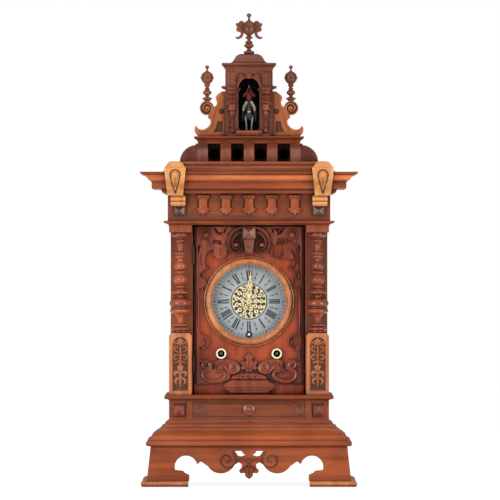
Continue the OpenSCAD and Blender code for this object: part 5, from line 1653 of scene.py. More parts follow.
        rim.turned((0, DIAL_Y, DIAL_Z), Axis.DEEP, [(4.9, 0), (4.9, -1.3), (6.6, -1.3), (6.8, 0)], 40)
        self.bench.fit("centre_rim", rim, GILT_PALE, "dial")

    @staticmethod
    def _lie(shape: Shape, line: Sequence[Point], widths: Sequence[float], height: float) -> None:
        """Adds a strap lying flat in X and Y, for a ring that stands up later."""
        flat = Shape().strap(line, widths, -height, 0.0, RIDGED, False)
        shape.add([(x, z, -y) for x, y, z in flat.points], [list(reversed(f)) for f in flat.faces])


@dataclass
class Bugler(Assembly):
    """Small painted rider with a bugle in the turret's niche, and the niche's black lining."""

    seat: Point3 = (0.0, FIGURE_Y, NICHE_Z)
    shoulders: Point3 = (0.0, FIGURE_Y, 825.9)
    barrel: Profile = (
        (0, -15.5), (5, -14.6), (8.6, -11.5), (10.4, -6), (10.2, 2), (9.6, 12), (9.9, 20), (8.4, 26),
        (4.6, 29.4), (0, 30.6),
    )
    jacket: Profile = (
        (0, 65), (6.9, 65), (7.1, 67), (7.8, 73), (7.6, 77), (6.2, 79.6), (3.4, 81), (2.8, 82), (0, 82.4),
    )
    head: Profile = (
        (0, 80.6), (2.4, 81), (2.8, 82.4), (4.0, 83.8), (4.5, 86), (4.3, 88.4), (3.0, 90.4), (0, 91),
    )
    hat: Profile = (
        (0, 87.6), (4.8, 87.6), (5.2, 88.2), (4.7, 88.8), (4.5, 92.2), (3.6, 93), (0, 93.2),
    )
    bell: Profile = (
        (0, 1.0), (1.0, 1.0), (0.9, -2), (1.2, -12), (1.9, -15.5), (3.6, -18), (4.6, -19), (4.5, -19.4),
        (3.4, -18.8), (1.6, -16.4), (0.7, -14), (0.0, -13),
    )

    def build(self) -> None:
        """Makes the figure's parts."""
        self._horse()
        self._breeches()
        self._clothes()
        self._arms()
        self.bench.soften("turret_body", WALNUT_BROWN, 0.7, take=lambda p: not self._is_inside(p))
        self.bench.soften("turret_body", LINING, 0.0, take=self._is_inside, name="niche_lining")

    @staticmethod
    def _is_inside(p: Vector) -> bool:
        """Whether a point in metres lies inside the niche."""
        return abs(p.x) < 0.0231 and -0.0285 < p.y < 0.045 and 0.7475 < p.z < 0.8545

    @staticmethod
    def _pair(shape: Shape, origin: Point3, path: Sequence[Point3], radii: Sequence[float],
              steps: int = 12) -> None:
        """Adds a limb on each side of an origin."""
        for side in (-1, 1):
            shape.tube(placed(origin, path, side), radii, steps)

    def _horse(self) -> None:
        """The horse's trunk, neck, head, ears and tail, its muzzle and its legs."""
        seat = self.seat
        horse = Shape().turned((0, seat[1], seat[2] + 31), Axis.DEEP, self.barrel, 32)
        neck = ((0, -8, 33), (0, -12.5, 42), (0, -15.2, 51), (0, -15, 55))
        head = ((0, -12, 53), (0, -17, 48), (0, -19.6, 42.5), (0, -20.4, 39.6))
        tail = ((0, 28, 36), (0, 32.5, 30), (0, 33.5, 18), (0, 32, 9))
        horse.tube(placed(seat, neck), (8.6, 6.6, 4.8, 3.0), 18)
        horse.tube(placed(seat, head), (4.2, 4.6, 3.6, 2.9), 18)
        self._pair(horse, seat, ((2.6, -13.4, 53), (3.0, -13.6, 57), (2.8, -13.2, 60)), (1.5, 1.1, 0.3), 8)
        horse.tube(placed(seat, tail), (2.2, 3.0, 2.4, 0.7), 10)
        self.bench.stand_in("horse", horse, HORSE, "mounted_bugler")
        muzzle = Shape().turned(
            (0, seat[1] - 21.9, seat[2] + 40.3), Axis.DEEP,
            [(0, -1.2), (2.2, -0.6), (3.3, 0.8), (3.2, 3.0), (0, 3.4)], 20
        )
        self.bench.fit("horse_muzzle", muzzle, MUZZLE, "mounted_bugler")
        legs = Shape()
        fore = ((6.6, -9, 32), (7.4, -10.5, 24), (6.0, -11, 14), (5.4, -10.5, 5), (5.4, -11.5, 1.4))
        hind = ((6.2, 20, 34), (6.6, 22, 24), (5.6, 19, 14), (5.2, 20, 5), (5.2, 19, 1.4))
        self._pair(legs, seat, fore, (3.4, 2.6, 1.7, 1.4, 2.4))
        self._pair(legs, seat, hind, (4.4, 3.0, 1.8, 1.4, 2.4))
        self.bench.fit("horse_legs", legs, LEG_GREY, "mounted_bugler")

    def _clothes(self) -> None:
        """The rider's turned parts and the plume."""
        skirt = ((9.6, 55.5), (9.2, 58), (7.6, 63), (7.0, 65.6), (6.6, 66.2), (0, 66.2))
        for name, finish, back, profiles in (
            ("rider_skirt", NAVY, 3, (skirt, ((0, 53), (9.6, 55.5)))),
            ("rider_jacket", SCARLET, 3, (self.jacket,)),
            ("rider_head", SKIN, 2.4, (self.head,)),
            ("rider_hat", HORSE, 2.8, (self.hat,)),
        ):
            shape = Shape()
            for profile in profiles:
                shape.turned((0, self.seat[1] + back, self.seat[2]), Axis.UPRIGHT, profile, 28)
            self.bench.fit(name, shape, finish, "mounted_bugler")
        plume = ((0, -1.4, 90), (0, -2.0, 93.4), (0, -1.8, 96.8))
        feather = Shape().tube(placed(self.seat, plume), (1.2, 1.7, 0.5), 12)
        self.bench.fit("rider_plume", feather, PLUME, "mounted_bugler")

    def _breeches(self) -> None:
        """The rider's breeches and boots, with a button at each knee."""
        breeches = Shape()
        boots = Shape()
        thigh = ((0.8, 1, 61.0), (5.4, -3, 58.6), (10.2, -5, 50.5), (12.6, -6.5, 40.5))
        shin = ((12.4, -6.4, 42), (13.4, -5.6, 33), (14.0, -4.4, 25), (14.2, -5.4, 21.6))
        foot = ((14.2, -4, 21.8), (14.4, -8.2, 21.4), (14.4, -10.6, 21.2))
        self._pair(breeches, self.seat, thigh, (3.8, 4.2, 3.7, 2.7), 14)
        self._pair(boots, self.seat, shin, (2.9, 2.4, 2.1, 1.9))
        self._pair(boots, self.seat, foot, (2.0, 1.8, 1.0), 10)
        for side in (-1, 1):
            knee = placed(self.seat, ((15.4, -4.8, 35.6),), side)[0]
            boots.turned(knee, Axis.DEEP, [(1.5, 1), (1.5, -1), (0, -1.4)], 12)
        self.bench.fit("rider_breeches", breeches, BREECHES, "mounted_bugler")
        self.bench.fit("rider_boots", boots, HORSE, "mounted_bugler")

    def _arms(self) -> None:
        """Sleeves, hands and bugle, which turn together about the shoulders."""
        _, y, z = self.shoulders
        bugle = Shape().turned((0, y - 2.4, z + 6.4), Axis.DEEP, self.bell, 32)
        self.bench.stand_in("bugle", bugle, BRASS_DULL, "bugle_arms")
        sleeves = Shape()
        arm = ((10.4, 2.4, 0), (11.8, -2.4, -4.8), (11.0, -7.0, -4.4), (7.0, -10.2, 0.8), (3.4, -12.4, 4.6))
        self._pair(sleeves, self.shoulders, arm, (2.7, 2.6, 2.3, 1.9, 1.6))
        sleeves.turned((-11.4, y + 3, z), Axis.ACROSS, [(0, 0), (1.35, 0), (1.35, 22.8), (0, 22.8)], 16)
        self.bench.fit("bugler_sleeves", sleeves, SCARLET, "bugle_arms")
        hands = Shape()
        hand = ((3.2, -12.2, 4.8), (1.6, -13.2, 6.2), (0.7, -13.4, 6.8))
        self._pair(hands, self.shoulders, hand, (1.5, 1.6, 0.9), 10)
        self.bench.fit("bugler_hands", hands, SKIN, "bugle_arms")


@dataclass
class Entablature(Assembly):
    """Cornice, corbels and strap pendants over the bay."""

    pitch: float = 48.1
    corbel_x: float = 154.6
    half: float = 168.0
    back_y: float = 160.0
    strap: Profile = (
        (-8.6, 0), (-8.6, -25.4), (-10.6, -27.4), (-14.4, -29.6), (-14.4, -32.2), (-9.4, -32.6),
        (-9.6, -36.0), (-6.4, -38.4), (-3.6, -37.6), (0, -43.8),
    )
    bands: tuple[tuple[float, float, float, float], ...] = (
        (588.0, 590.4, 14.8, 12.4), (590.4, 597.2, 15.6, 14.4), (597.2, 599.0, 14.8, 12.6),
        (599.0, 606.6, 15.8, 14.6), (606.6, 610.0, 15.0, 13.2),
    )

    def build(self) -> None:
        """Makes the entablature's fine pieces."""
        self._cornice()
        self._pendants()
        self._corbels()

    def _cornice(self) -> None:
        """Slab, cyma, fascia and ovolo of the main cornice, with the cyma band in a brighter walnut as
        painted light.
        """
        z = CORNICE_Z
        angles = [math.pi / 2 * i / 8 for i in range(9)]
        ovolo = [(4.2 + 11 * math.sin(a), z + 1.4 + 6.4 * (1 - math.cos(a))) for a in angles]
        shares = [i / 12 for i in range(13)]
        cyma = [(39.4 + 12.8 * t, z + 30.6 + 10.4 * (t - 0.16 * math.sin(TURN * t))) for t in shares]
        loop = [
            (2.6, z + 0.2), (3.4, z + 1.0), *ovolo, (15.2, z + 9.4), (17.0, z + 10.2), (17.0, z + 12.9),
            (35.2, z + 12.9), (35.9, z + 13.6), (35.9, z + 26.0), (37.4, z + 26.6), (37.4, z + 41.3),
            (53.6, z + 41.3), (53.6, z + 43.2), (58.8, z + 43.6), (59.6, z + 44.4), (59.6, z + 47.2),
            (58.8, z + 48.0), (-14.0, z + 48.0), (-14.0, z + 0.2),
        ]
        shape = Shape().moulding(loop, self.half, FRONT_Y, self.back_y)
        shape.box((14.0 - self.half, 146.0, z + 0.2), (self.half - 14.0, 159.8, z + 48.0))
        self.bench.stand_in("cornice_fine", shape, WALNUT, "cornice")
        # Painted light: the downward-facing cyma band is covered again in a brighter walnut.
        face = [(36.8, z + 29.4), (38.8, z + 29.6), *cyma, (53.4, z + 41.4), (36.8, z + 41.4)]
        band = Shape().moulding(face, self.half, FRONT_Y, self.back_y)
        self.bench.fit("cornice_cyma", band, WALNUT_CYMA_PAINTED_LIGHT, "cornice")

    def _pendants(self) -> None:
        """Strap pendants with a tab, a flared foot, a trefoil and a button."""
        shape = Shape()
        tabs = Shape()
        z = CORNICE_Z - 0.4
        back = FRIEZE_Y
        for k in range(-2, 3):
            x = k * self.pitch
            ring = [(x + a, z + b) for a, b in (*self.strap, *flip(list(reversed(self.strap[:-1]))))]
            shape.plate(ring, back - 4.6, back + 0.1, 0.7)
            tabs.plate(upright(x, 12.8, z - 8.4, z), back - 5.9, back + 0.1, 0.7)
            for s in (-1, 1):
                edge = x + s * 12.4
                shape.strap([(edge, z - 8.0), (edge, z - 26.0)], [0.8, 0.8], back - 2.4, back, RIDGED)
                lobe = (x + s * 6.4, back - 4.4, z - 34.8)
                shape.turned(lobe, Axis.DEEP, [(2.8, 0.6), (2.6, -0.4), (0, -1.4)], 16)
            button = [(2.1, 0.6), (2.1, -0.5), (1.2, -1.4), (0, -1.6)]
            shape.turned((x, back - 4.4, z - 26.2), Axis.DEEP, button, 20)
            shape.pyramid([(x - 4.2, z - 30.4), (x + 4.2, z - 30.4), (x, z - 41.0)], back - 4.5, 1.3)
        self.bench.stand_in("pendants_fine", shape, WALNUT_WARM, "pendants")
        self.bench.fit("pendant_tabs", tabs, WALNUT_BROWN, "pendants")

    def _corbels(self) -> None:
        """Golden corbels with a raised drop, a banded block and a dark faceted foot."""
        gold = Shape()
        dark = Shape()
        for s in (-1, 1):
            x = s * self.corbel_x
            self._body(gold, x)
            self._drop(gold, dark, x)
            for low, high, w, out in self.bands:
                gold.plate(upright(x - s * 5.6, w, low, high), FRIEZE_Y - out, FRIEZE_Y + 0.4, 0.6)
            foot = upright(x - s * 8.6, 12.4, 568.6, 587.8)
            dark.plate(foot, FRIEZE_Y - 6.5, FRIEZE_Y + 0.4, 0.6)
            dark.pyramid(inset(foot, 2.0), FRIEZE_Y - 6.4, 5.2)
        self.bench.stand_in("corbels_fine", gold, WALNUT_GOLD, "corbels")
        self.bench.fit("corbel_feet", dark, WALNUT_CREST, "corbels")

    @staticmethod
    def _front(z: float) -> float:
        """Y of a corbel's swept front at a height."""
        t = min(max((z - 608.0) / 38.0, 0.0), 1.0)
        return FRIEZE_Y - 20.0 - 43.6 * (1 - math.cos(math.pi * t)) / 2

    def _body(self, shape: Shape, x: float) -> None:
        """Adds the tapering scroll body, level by level.

        Args:
            shape: the shape it adds to.
            x: X of the corbel's middle.
        """
        rows = [(16.4 + (z - 610) * 0.109, z) for z in range(610, 667, 2)]
        rows += [(22.7, 667.6), (21.4, 668.8), (19.9, 669.2), (19.9, 671.4), (17.4, 673.0), (16.4, 676.0),
                 (13.0, 679.4), (7.5, 681.2)]
        points: list[Point3] = []
        for w, z in rows:
            front = CORBEL_Y + 3.0 + (z - 668) * 0.55 if z > 668 else self._front(z)
            for u, deep in ((-1, 0.0), (-1, 1.0), (-0.86, 1.0), (0.86, 1.0), (1, 1.0), (1, 0.0)):
                bevel = 1.2 if abs(u) == 1 and deep else 0.0
                points.append((x + u * w, (front + bevel) if deep else FRIEZE_Y + 0.3, z))
        shape.add(points, lofted(len(rows), 6))

    def _drop(self, gold: Shape, dark: Shape, x: float) -> None:
        """Adds the raised drop and the dark line round it, bent to the body's front.

        Args:
            gold: the shape of the drop.
            dark: the shape of the line.
            x: X of the corbel's middle.
        """
        for grow, rise, fill in ((10.4, 0.9, False), (7.6, 3.0, True)):
            side = [(grow * 0.24, 621.0), (grow * 0.52, 631.0), (grow * 0.82, 641.0)]
            head = arc(0, 652.6, grow, -12, 192, 14)
            tip = (0.0, 613.5 + (10.4 - grow) * 1.2, 1)
            line = flow([*head, *flip(list(reversed(side))), tip, *side], True, 2)
            ring = [(x + a, b) for a, b in line]
            n = len(ring)
            if fill:
                inner = [(x + a * 0.55, 648.0 + (b - 648.0) * 0.7) for a, b in line]
                points = [(a, self._front(b) + 0.4, b) for a, b in ring]
                points += [(a, self._front(b) - rise, b) for a, b in inner]
                points.append((x, self._front(650) - rise - 0.6, 650.0))
                faces = [[i, (i + 1) % n, n + (i + 1) % n, n + i] for i in range(n)]
                faces += [[n + i, n + (i + 1) % n, 2 * n] for i in range(n)] + [list(range(n - 1, -1, -1))]
                gold.add(points, faces)
            else:
                path = [(a, self._front(b) - rise * 0.4, b) for a, b in (*ring, ring[0])]
                dark.tube(path, [1.15] * len(path), 8)


@dataclass
class Supports(Assembly):
    """Turned columns on carved pedestals."""

    profile: Profile = (
        (88, 56), (95, 60), (104, 61), (114, 57), (123, 45), (129, 28), (136, 25), (141, 31), (149, 33),
        (157, 26), (163, 20), (173, 25), (181, 22), (200, 21), (216, 24), (226, 20), (229, 38), (235, 43),
        (243, 43), (248, 32), (256, 35), (266, 33), (275, 23), (286, 21), (297, 25), (304, 34), (315, 41),
        (328, 43), (343, 40), (354, 31), (359, 23), (364, 33), (371, 36), (378, 33), (383, 25), (390, 28),
        (398, 38), (411, 46), (426, 49), (441, 44), (454, 33), (463, 22), (469, 30), (476, 33), (483, 29),
        (488, 23), (495, 24), (499, 41), (505, 44), (509, 60), (516, 63), (523, 60), (526, 45), (531, 29),
        (543, 24), (556, 27), (562, 46), (567, 60), (577, 73), (591, 78), (605, 77), (615, 70), (619, 58),
        (628, 58), (632, 68), (643, 76), (655, 74), (665, 62), (670, 45), (679, 38), (690, 28), (705, 23),
        (722, 23), (734, 30), (741, 44), (747, 54), (754, 55), (759, 47), (764, 56), (772, 66), (783, 66),
        (790, 58), (797, 58),
    )
    zero: float = 558.4
    low_z: float = 321.6
    arch_z: float = 297.0
    arch_r: float = 16.4
    panel_low: float = 202.0
    scrolls: tuple[tuple[float, Profile], ...] = (
        (0.9, ((0, 296.5), (5, 298.0), (10.2, 302.4), (12.6, 298.6), (10.4, 295.0))),
        (0.8, ((0, 281), (6, 281.6), (11.6, 285.6), (12, 290.8), (7.6, 292.6), (5.4, 289), (8, 286.6))),
        (0.9, ((0, 280), (4.4, 274.6), (9.6, 275.8), (13, 271), (10.2, 265.6), (6, 267.2), (7.8, 270.8))),
        (0.8, ((0, 268.0), (2.6, 262.0), (8.0, 259.4), (13.8, 258.6))),
        (1.7, ((0, 241.0), (4.4, 238.0), (10.0, 239.4), (12.2, 233.6), (7.6, 229.4))),
        (1.5, ((0, 230.0), (4.6, 225.4), (9.4, 223.6), (10.0, 217.0), (5.0, 213.0))),
    )

    def build(self) -> None:
        """Makes the columns and the pedestals' carving."""
        shape = Shape()
        line = [(r, max(h, self.low_z)) for r, h in turning(self.profile, self.zero, 5.0)]
        for x in (-COLUMN_X, COLUMN_X):
            shape.turned((x, COLUMN_Y, 0), Axis.UPRIGHT, line, 48)
        self.bench.stand_in("columns_fine", shape, WALNUT_TURNED, "columns")
        self.bench.soften("pedestals", WALNUT_AMBER, 0.8)
        arch = self._arched(self.arch_r, self.panel_low)
        ground = Shape().plate(arch, FRONT_Y + 2.7, FRONT_Y + 3.2).mirrored()
        self.bench.fit("pedestal_grounds", ground, WALNUT_CREST, "pedestal_carvings")
        self.bench.stand_in("pedestal_foliage", self._foliage(), WALNUT_AMBER, "pedestal_carvings")

    def _arched(self, r: float, low: float) -> list[Point]:
        """Outline of a pedestal's arched panel, from its lower corners round its head."""
        return [(COLUMN_X - r, low), (COLUMN_X + r, low), *arc(COLUMN_X, self.arch_z, r, 0, 180, 16)]

    def _foliage(self) -> Shape:
        """Rosette, scroll pairs, flower and leaves in both panels.

        Returns:
            The carving.
        """
        x = COLUMN_X
        front, back = FRONT_Y + 0.1, FRONT_Y + 2.9
        bead = self._arched(self.arch_r - 0.6, self.panel_low + 1.0)
        shape = Shape().strap([*bead, bead[0]], [0.7] * (len(bead) + 1), front, back, ROUNDED, False)
        for z, r in ((304.0, 4.6), (248.6, 5.4)):
            eye = [(r, 0), (r, -1.6), (r * 0.72, -2.2), (r * 0.5, -1.4), (1.9, -1.6), (1.2, -3.0), (0, -3.2)]
            shape.turned((x, back, z), Axis.DEEP, eye, 24)
            for k in range(5):
                a = TURN * k / 5 + math.pi / 2
                petal = (x + (r + 0.7) * math.cos(a), back, z + (r + 0.7) * math.sin(a))
                shape.turned(petal, Axis.DEEP, [(1.9, 0), (1.6, -1.6), (0, -2.4)], 12)
        for s in (-1, 1):
            for swell, path in self.scrolls:
                shape.vein([(x + s * a, z) for a, z in path], (1.3, 1.1, swell), front, back)
        for levels, widths in (((300.0, 286.0, 262.0, 254.0), (1.0, 2.0, 2.2, 1.0)),
                               ((243.0, 232.0, 216.0, 206.0), (1.0, 2.4, 2.0, 0.6))):
            shape.strap([(x, z) for z in levels], widths, front, back, RIDGED)
        return shape.mirrored()


@dataclass
class Turret(Assembly):
    """Niche turret with its dome, scrolled wings and finials."""

    wing: Outline = (
        (-50.0, 830.6, 1), (-57.0, 830.6, 1), (-67.4, 823.2, 1), (-70.6, 816.8), (-67.8, 808.0),
        (-69.4, 801.0), (-76.0, 796.6, 1), (-79.0, 785.6, 1), (-87.0, 778.4, 1), (-86.6, 774.6, 1),
        (-81.8, 770.4), (-81.6, 762.8), (-86.4, 755.6), (-95.4, 750.4), (-104.0, 750.6), (-108.8, 754.0),
        (-111.4, 758.4, 1), (-114.4, 754.0), (-114.4, 745.0), (-107.4, 735.4, 1), (-50.0, 735.4, 1),
    )
    field: Profile = ((-66.4, 767.4), (-55.6, 767.4), (-55.6, 744.6), (-75.0, 744.6), (-70.0, 753.0))
    edge: Profile = (
        (-53.0, 828.0), (-61.5, 820.0), (-62.0, 806.0), (-66.0, 796.0), (-71.6, 786.0), (-75.4, 772.0),
        (-76.0, 762.0), (-83.0, 751.6), (-96.0, 744.6), (-108.0, 748.6),
    )
    flare: Profile = (
        (49.2, 0.2), (49.8, 1.6), (50.0, 3.0), (51.0, 6.0), (53.0, 9.4), (55.6, 12.2), (57.5, 13.2),
        (57.5, 16.4), (56.8, 17.0),
    )
    dome: Profile = (
        (38.0, 16.8), (38.0, 18.0), (35.6, 19.2), (33.6, 21.4), (31.2, 25.4), (28.8, 29.6), (26.2, 32.8),
        (22.8, 35.0), (18.4, 36.4), (16.6, 36.9),
    )
    bands: tuple[tuple[float, float, float, float], ...] = (
        (831.4, 833.4, 9.4, 1.6), (833.4, 838.4, 10.4, 2.6), (826.0, 831.2, 8.8, 1.2),
        (816.6, 819.4, 9.0, 1.6), (811.8, 815.0, 8.0, 1.2), (806.0, 810.4, 8.8, 1.8),
        (736.0, 741.0, 9.0, 1.2),
    )
    pilaster_x: float = 35.6
    face_y: float = -36.0
    finial_x: float = 88.4
    finial_y: float = -16.5
    bead_z: float = 859.0
    urn_y: float = 8.0
    side: Profile = (
        (463, 0), (465, 8), (470, 12), (477, 14), (484, 12), (489, 7), (495, 6), (502, 8), (508, 14),
        (514, 24), (524, 36), (536, 42), (552, 44), (570, 41), (584, 33), (595, 21), (601, 18), (607, 22),
        (613, 18), (625, 11), (632, 20), (639, 14), (648, 25), (658, 31), (670, 27), (681, 13), (691, 15),
        (698, 33), (707, 34), (713, 22), (719, 22), (719, 0),
    )
    urn: Profile = (
        (80, 0), (82, 9), (88, 15), (96, 17), (104, 14), (110, 7), (116, 7), (121, 10), (126, 8), (132, 11),
        (140, 24), (151, 35), (163, 42), (172, 46), (175, 51), (182, 52), (187, 47), (203, 45), (220, 38),
        (233, 26), (242, 13), (249, 23), (256, 27), (262, 22), (269, 12), (279, 14), (286, 28), (292, 27),
        (299, 21), (305, 33), (317, 34), (328, 24), (336, 13), (346, 17), (351, 25), (356, 38), (366, 38),
        (373, 30), (373, 0),
    )
    handle: Outline = (
        (-30, 160), (-33, 148), (-45, 137), (-58, 134), (-71, 141), (-77, 151), (-88, 149), (-95, 159),
        (-93, 172), (-84, 179), (-92, 190), (-90, 204), (-79, 213), (-66, 216), (-60, 226), (-68, 243),
        (-83, 250), (-96, 249, 1), (-95, 260), (-80, 266), (-62, 262), (-48, 250), (-41, 236), (-36, 215),
        (-30, 195),
    )

    def build(self) -> None:
        """Makes the turret's fine pieces."""
        self._wings()
        self._roof()
        self._front()
        self._finials()

    def _wings(self) -> None:
        """Boards with a volute and a horn, a button and a sunk dark field on each side."""
        plates = []
        for turn in (list, flip):
            lines = [flow(turn(self.wing)), turn(self.field)]
            plates.append(relief(lines, WING_Y + 0.2, WING_Y + 14.8, 1.0))
        scroll = Shape()
        dark = Shape()
        x, z = -89.0, 795.6
        dish = [(0, 14.6), (14.8, 14.6), (15.1, 13.8), (15.1, 1.8), (14.2, 0.9), (12.6, 0.9), (12.6, 4.6),
                (0, 4.6)]
        scroll.turned((x, WING_Y, z), Axis.DEEP, dish, 48)
        dark.turned((x, WING_Y, z), Axis.DEEP, [(0, 5.0), (12.6, 5.0), (12.6, 4.0), (0, 4.0)], 48)
        line = spiral(x, z, 4.4, 11.6, 60, -1.35, 52)
        scroll.strap(line, taper(len(line), 1.5, 2.0), WING_Y + 0.1, WING_Y + 5.0, ROUNDED, False)
        scroll.turned((x, WING_Y + 1, z), Axis.DEEP, [(4.2, 3), (4.2, 0), (2.8, -1.2), (0, -1.6)], 24)
        scroll.vein(self.edge, (0.5, 0.5, 0.6), WING_Y - 0.6, WING_Y + 2)
        scroll.mirrored()
        plates.append(scroll.mesh())
        self.bench.stand_in("wings_fine", gather(plates), WALNUT_ORANGE, "wings")
        dark.plate(self.field, WING_Y + 2.6, WING_Y + 5)
        button = [(5.3, 0), (5.3, -2.0), (4.2, -2.9), (3.2, -2.0), (2.4, -2.0), (1.8, -3.8), (0, -4.3)]
        dark.turned((-58.2, WING_Y + 1, 788.6), Axis.DEEP, button, 28)
        dark.mirrored()
        self.bench.fit("wing_fields", dark, WALNUT_CREST, "wings")

    def _roof(self) -> None:
        """Flared cornice and a bell-shaped dome."""
        shape = Shape()
        z = TURRET_TOP_Z
        lip = self.flare[-2][0]
        shape.stack([(w, -37.6 + lip - w, 46.0 - min(lip - w, 2.0) * 0.2, z + h) for w, h in self.flare])
        top = self.dome[-1][0]
        deep = [14 + (w - top) * 0.72 for w, _ in self.dome]
        shape.stack([(w, self.urn_y - d, self.urn_y + d, z + h) for (w, h), d in zip(self.dome, deep)])
        made = shape.mesh()
        made.set_sharp_from_angle(angle=math.radians(50))
        self.bench.stand_in("turret_roof_fine", made, WALNUT_ROOF, "turret_roof")

    def _front(self) -> None:
        """Capitals, bands, blocks and drops on the pilasters, and the niche's arch and lining."""
        dark = Shape()
        warm = Shape()
        self._pilaster(dark, warm)
        self._blossoms(dark)
        for made in (dark, warm):
            made.mirrored()
        y = self.face_y
        warm.plate(upright(0, 3.4, 857.6, 868.6, 5.6), TURRET_Y - 3.2, TURRET_Y + 2, 0.8)
        arch = arc(0, 836.9, 23.8, 2, 178, 24)
        warm.strap(arch, [1.2] * len(arch), TURRET_Y - 1.4, TURRET_Y + 1, ROUNDED)
        warm.box((-27.6, y - 2.2, 742.0), (27.6, TURRET_Y + 1, 747.6))
        dark.box((-26.0, y - 0.6, 738.0), (26.0, TURRET_Y + 1, 742.0))
        self.bench.fit("turret_carving", dark, WALNUT_CARVED, "turret_body")
        self.bench.fit("turret_blocks", warm, WALNUT_WARM, "turret_body")
        cloth = Shape().box((-22.0, 40.0, 748.8), (22.0, 43.6, 871.0))
        for x in (-22.4, 22.4):
            cloth.box((x - 0.2, -27.0, 753.8), (x + 0.2, 43.6, 838.0))
        self.bench.fit("niche_cloth", cloth, LINING, "turret_body")

    def _pilaster(self, dark: Shape, warm: Shape) -> None:
        """Adds the bands, the faceted block, the beads and the drop of the right-hand pilaster.

        Args:
            dark: the shape of the turned and banded parts.
            warm: the shape of the blocks.
        """
        x, y = self.pilaster_x, self.face_y
        for low, high, w, out in self.bands:
            dark.plate(upright(x, w, low, high), y - out, y + 3, 0.5)
        block = upright(x, 6.6, 790.0, 802.6)
        warm.plate(block, y - 2.2, y + 3, 1.0)
        warm.pyramid(inset(block, 1.6), y - 2.1, 1.2)
        for z, r in ((785.4, 4.8), (780.8, 3.6), (776.4, 2.6), (759.8, 3.9), (748.0, 4.6)):
            dark.turned((x, y + 0.6, z), Axis.DEEP, [(r, 2), (r, -1.4), (r * 0.7, -2.8), (0, -3.4)], 24)
        dark.strap([(x, 773.0), (x, 766.0), (x, 752.0)], [1.2, 2.6, 1.4], y - 1.8, y + 1, RIDGED)
        warm.plate(upright(x, 7.2, 844.6, 871.0), TURRET_Y - 2.0, TURRET_Y + 2, 0.8)

    def _blossoms(self, dark: Shape) -> None:
        """Adds two blossoms over the right-hand pilaster and the scrolls beside the arch.

        Args:
            dark: the shape it adds to.
        """
        x, y = self.pilaster_x, TURRET_Y - 1.6
        for z in (864.0, 852.0):
            dark.turned((x, y, z), Axis.DEEP, [(3.6, 1), (3.6, -0.6), (2.2, -1.8), (0, -2.4)], 20)
            for a in (math.radians(d) for d in (45, 135, 225, 315)):
                petal = (x + 4.2 * math.cos(a), y, z + 4.2 * math.sin(a))
                dark.turned(petal, Axis.DEEP, [(1.7, 1), (1.4, -0.6), (0, -1.2)], 12)
        for path in (((24.8, 862.0), (22.0, 867.4), (15.0, 868.4), (9.8, 864.8), (12.6, 861.4)),
                     ((24.6, 848.0), (26.0, 855.0), (23.6, 860.0), (20.4, 858.4))):
            dark.vein(path, (0.9, 0.7, 0.9), TURRET_Y - 2.2, TURRET_Y + 1)

    def _finials(self) -> None:
        """Side finials with a beaded band, and the top urn with its leafy handles."""
        shape = Shape()
        round_bead = [(0, -1.4), (1.0, -1.0), (1.4, 0), (1.0, 1.0), (0, 1.4)]
        bead = Shape().turned((0, 0, 0), Axis.UPRIGHT, round_bead, 10).mesh()
        wood = self.bench.palette.of(WALNUT_BROWN)
        bands = []
        for x in (-self.finial_x, self.finial_x):
            shape.turned((x, self.finial_y, 0), Axis.UPRIGHT, turning(self.side, 1022.4), 40)
            band = self.bench.ring.mesh(bead, wood, count=28, radius=13.4)
            band.transform(Matrix.Translation((x * MM, self.finial_y * MM, self.bead_z * MM)))
            bands.append(band)
        self.bench.stand_in("side_finials_fine", shape, WALNUT_BROWN, "side_finials")
        self.bench.fit("finial_beads", gather(bands), WALNUT_BROWN, "side_finials")
        zero = 1020.4
        parts = [Shape().turned((0, self.urn_y, 0), Axis.UPRIGHT, turning(self.urn, zero), 40).mesh()]
        for s in (1, -1):
            line = flow([(u * PHOTO_STEP * s, zero - v * PHOTO_STEP, *k) for u, v, *k in self.handle], True,
                        3)
            parts.append(relief([line], self.urn_y - 3.6, self.urn_y + 3.6, 1.4))
        self.bench.stand_in("top_finial_fine", gather(parts), WALNUT_BROWN, "top_finial")


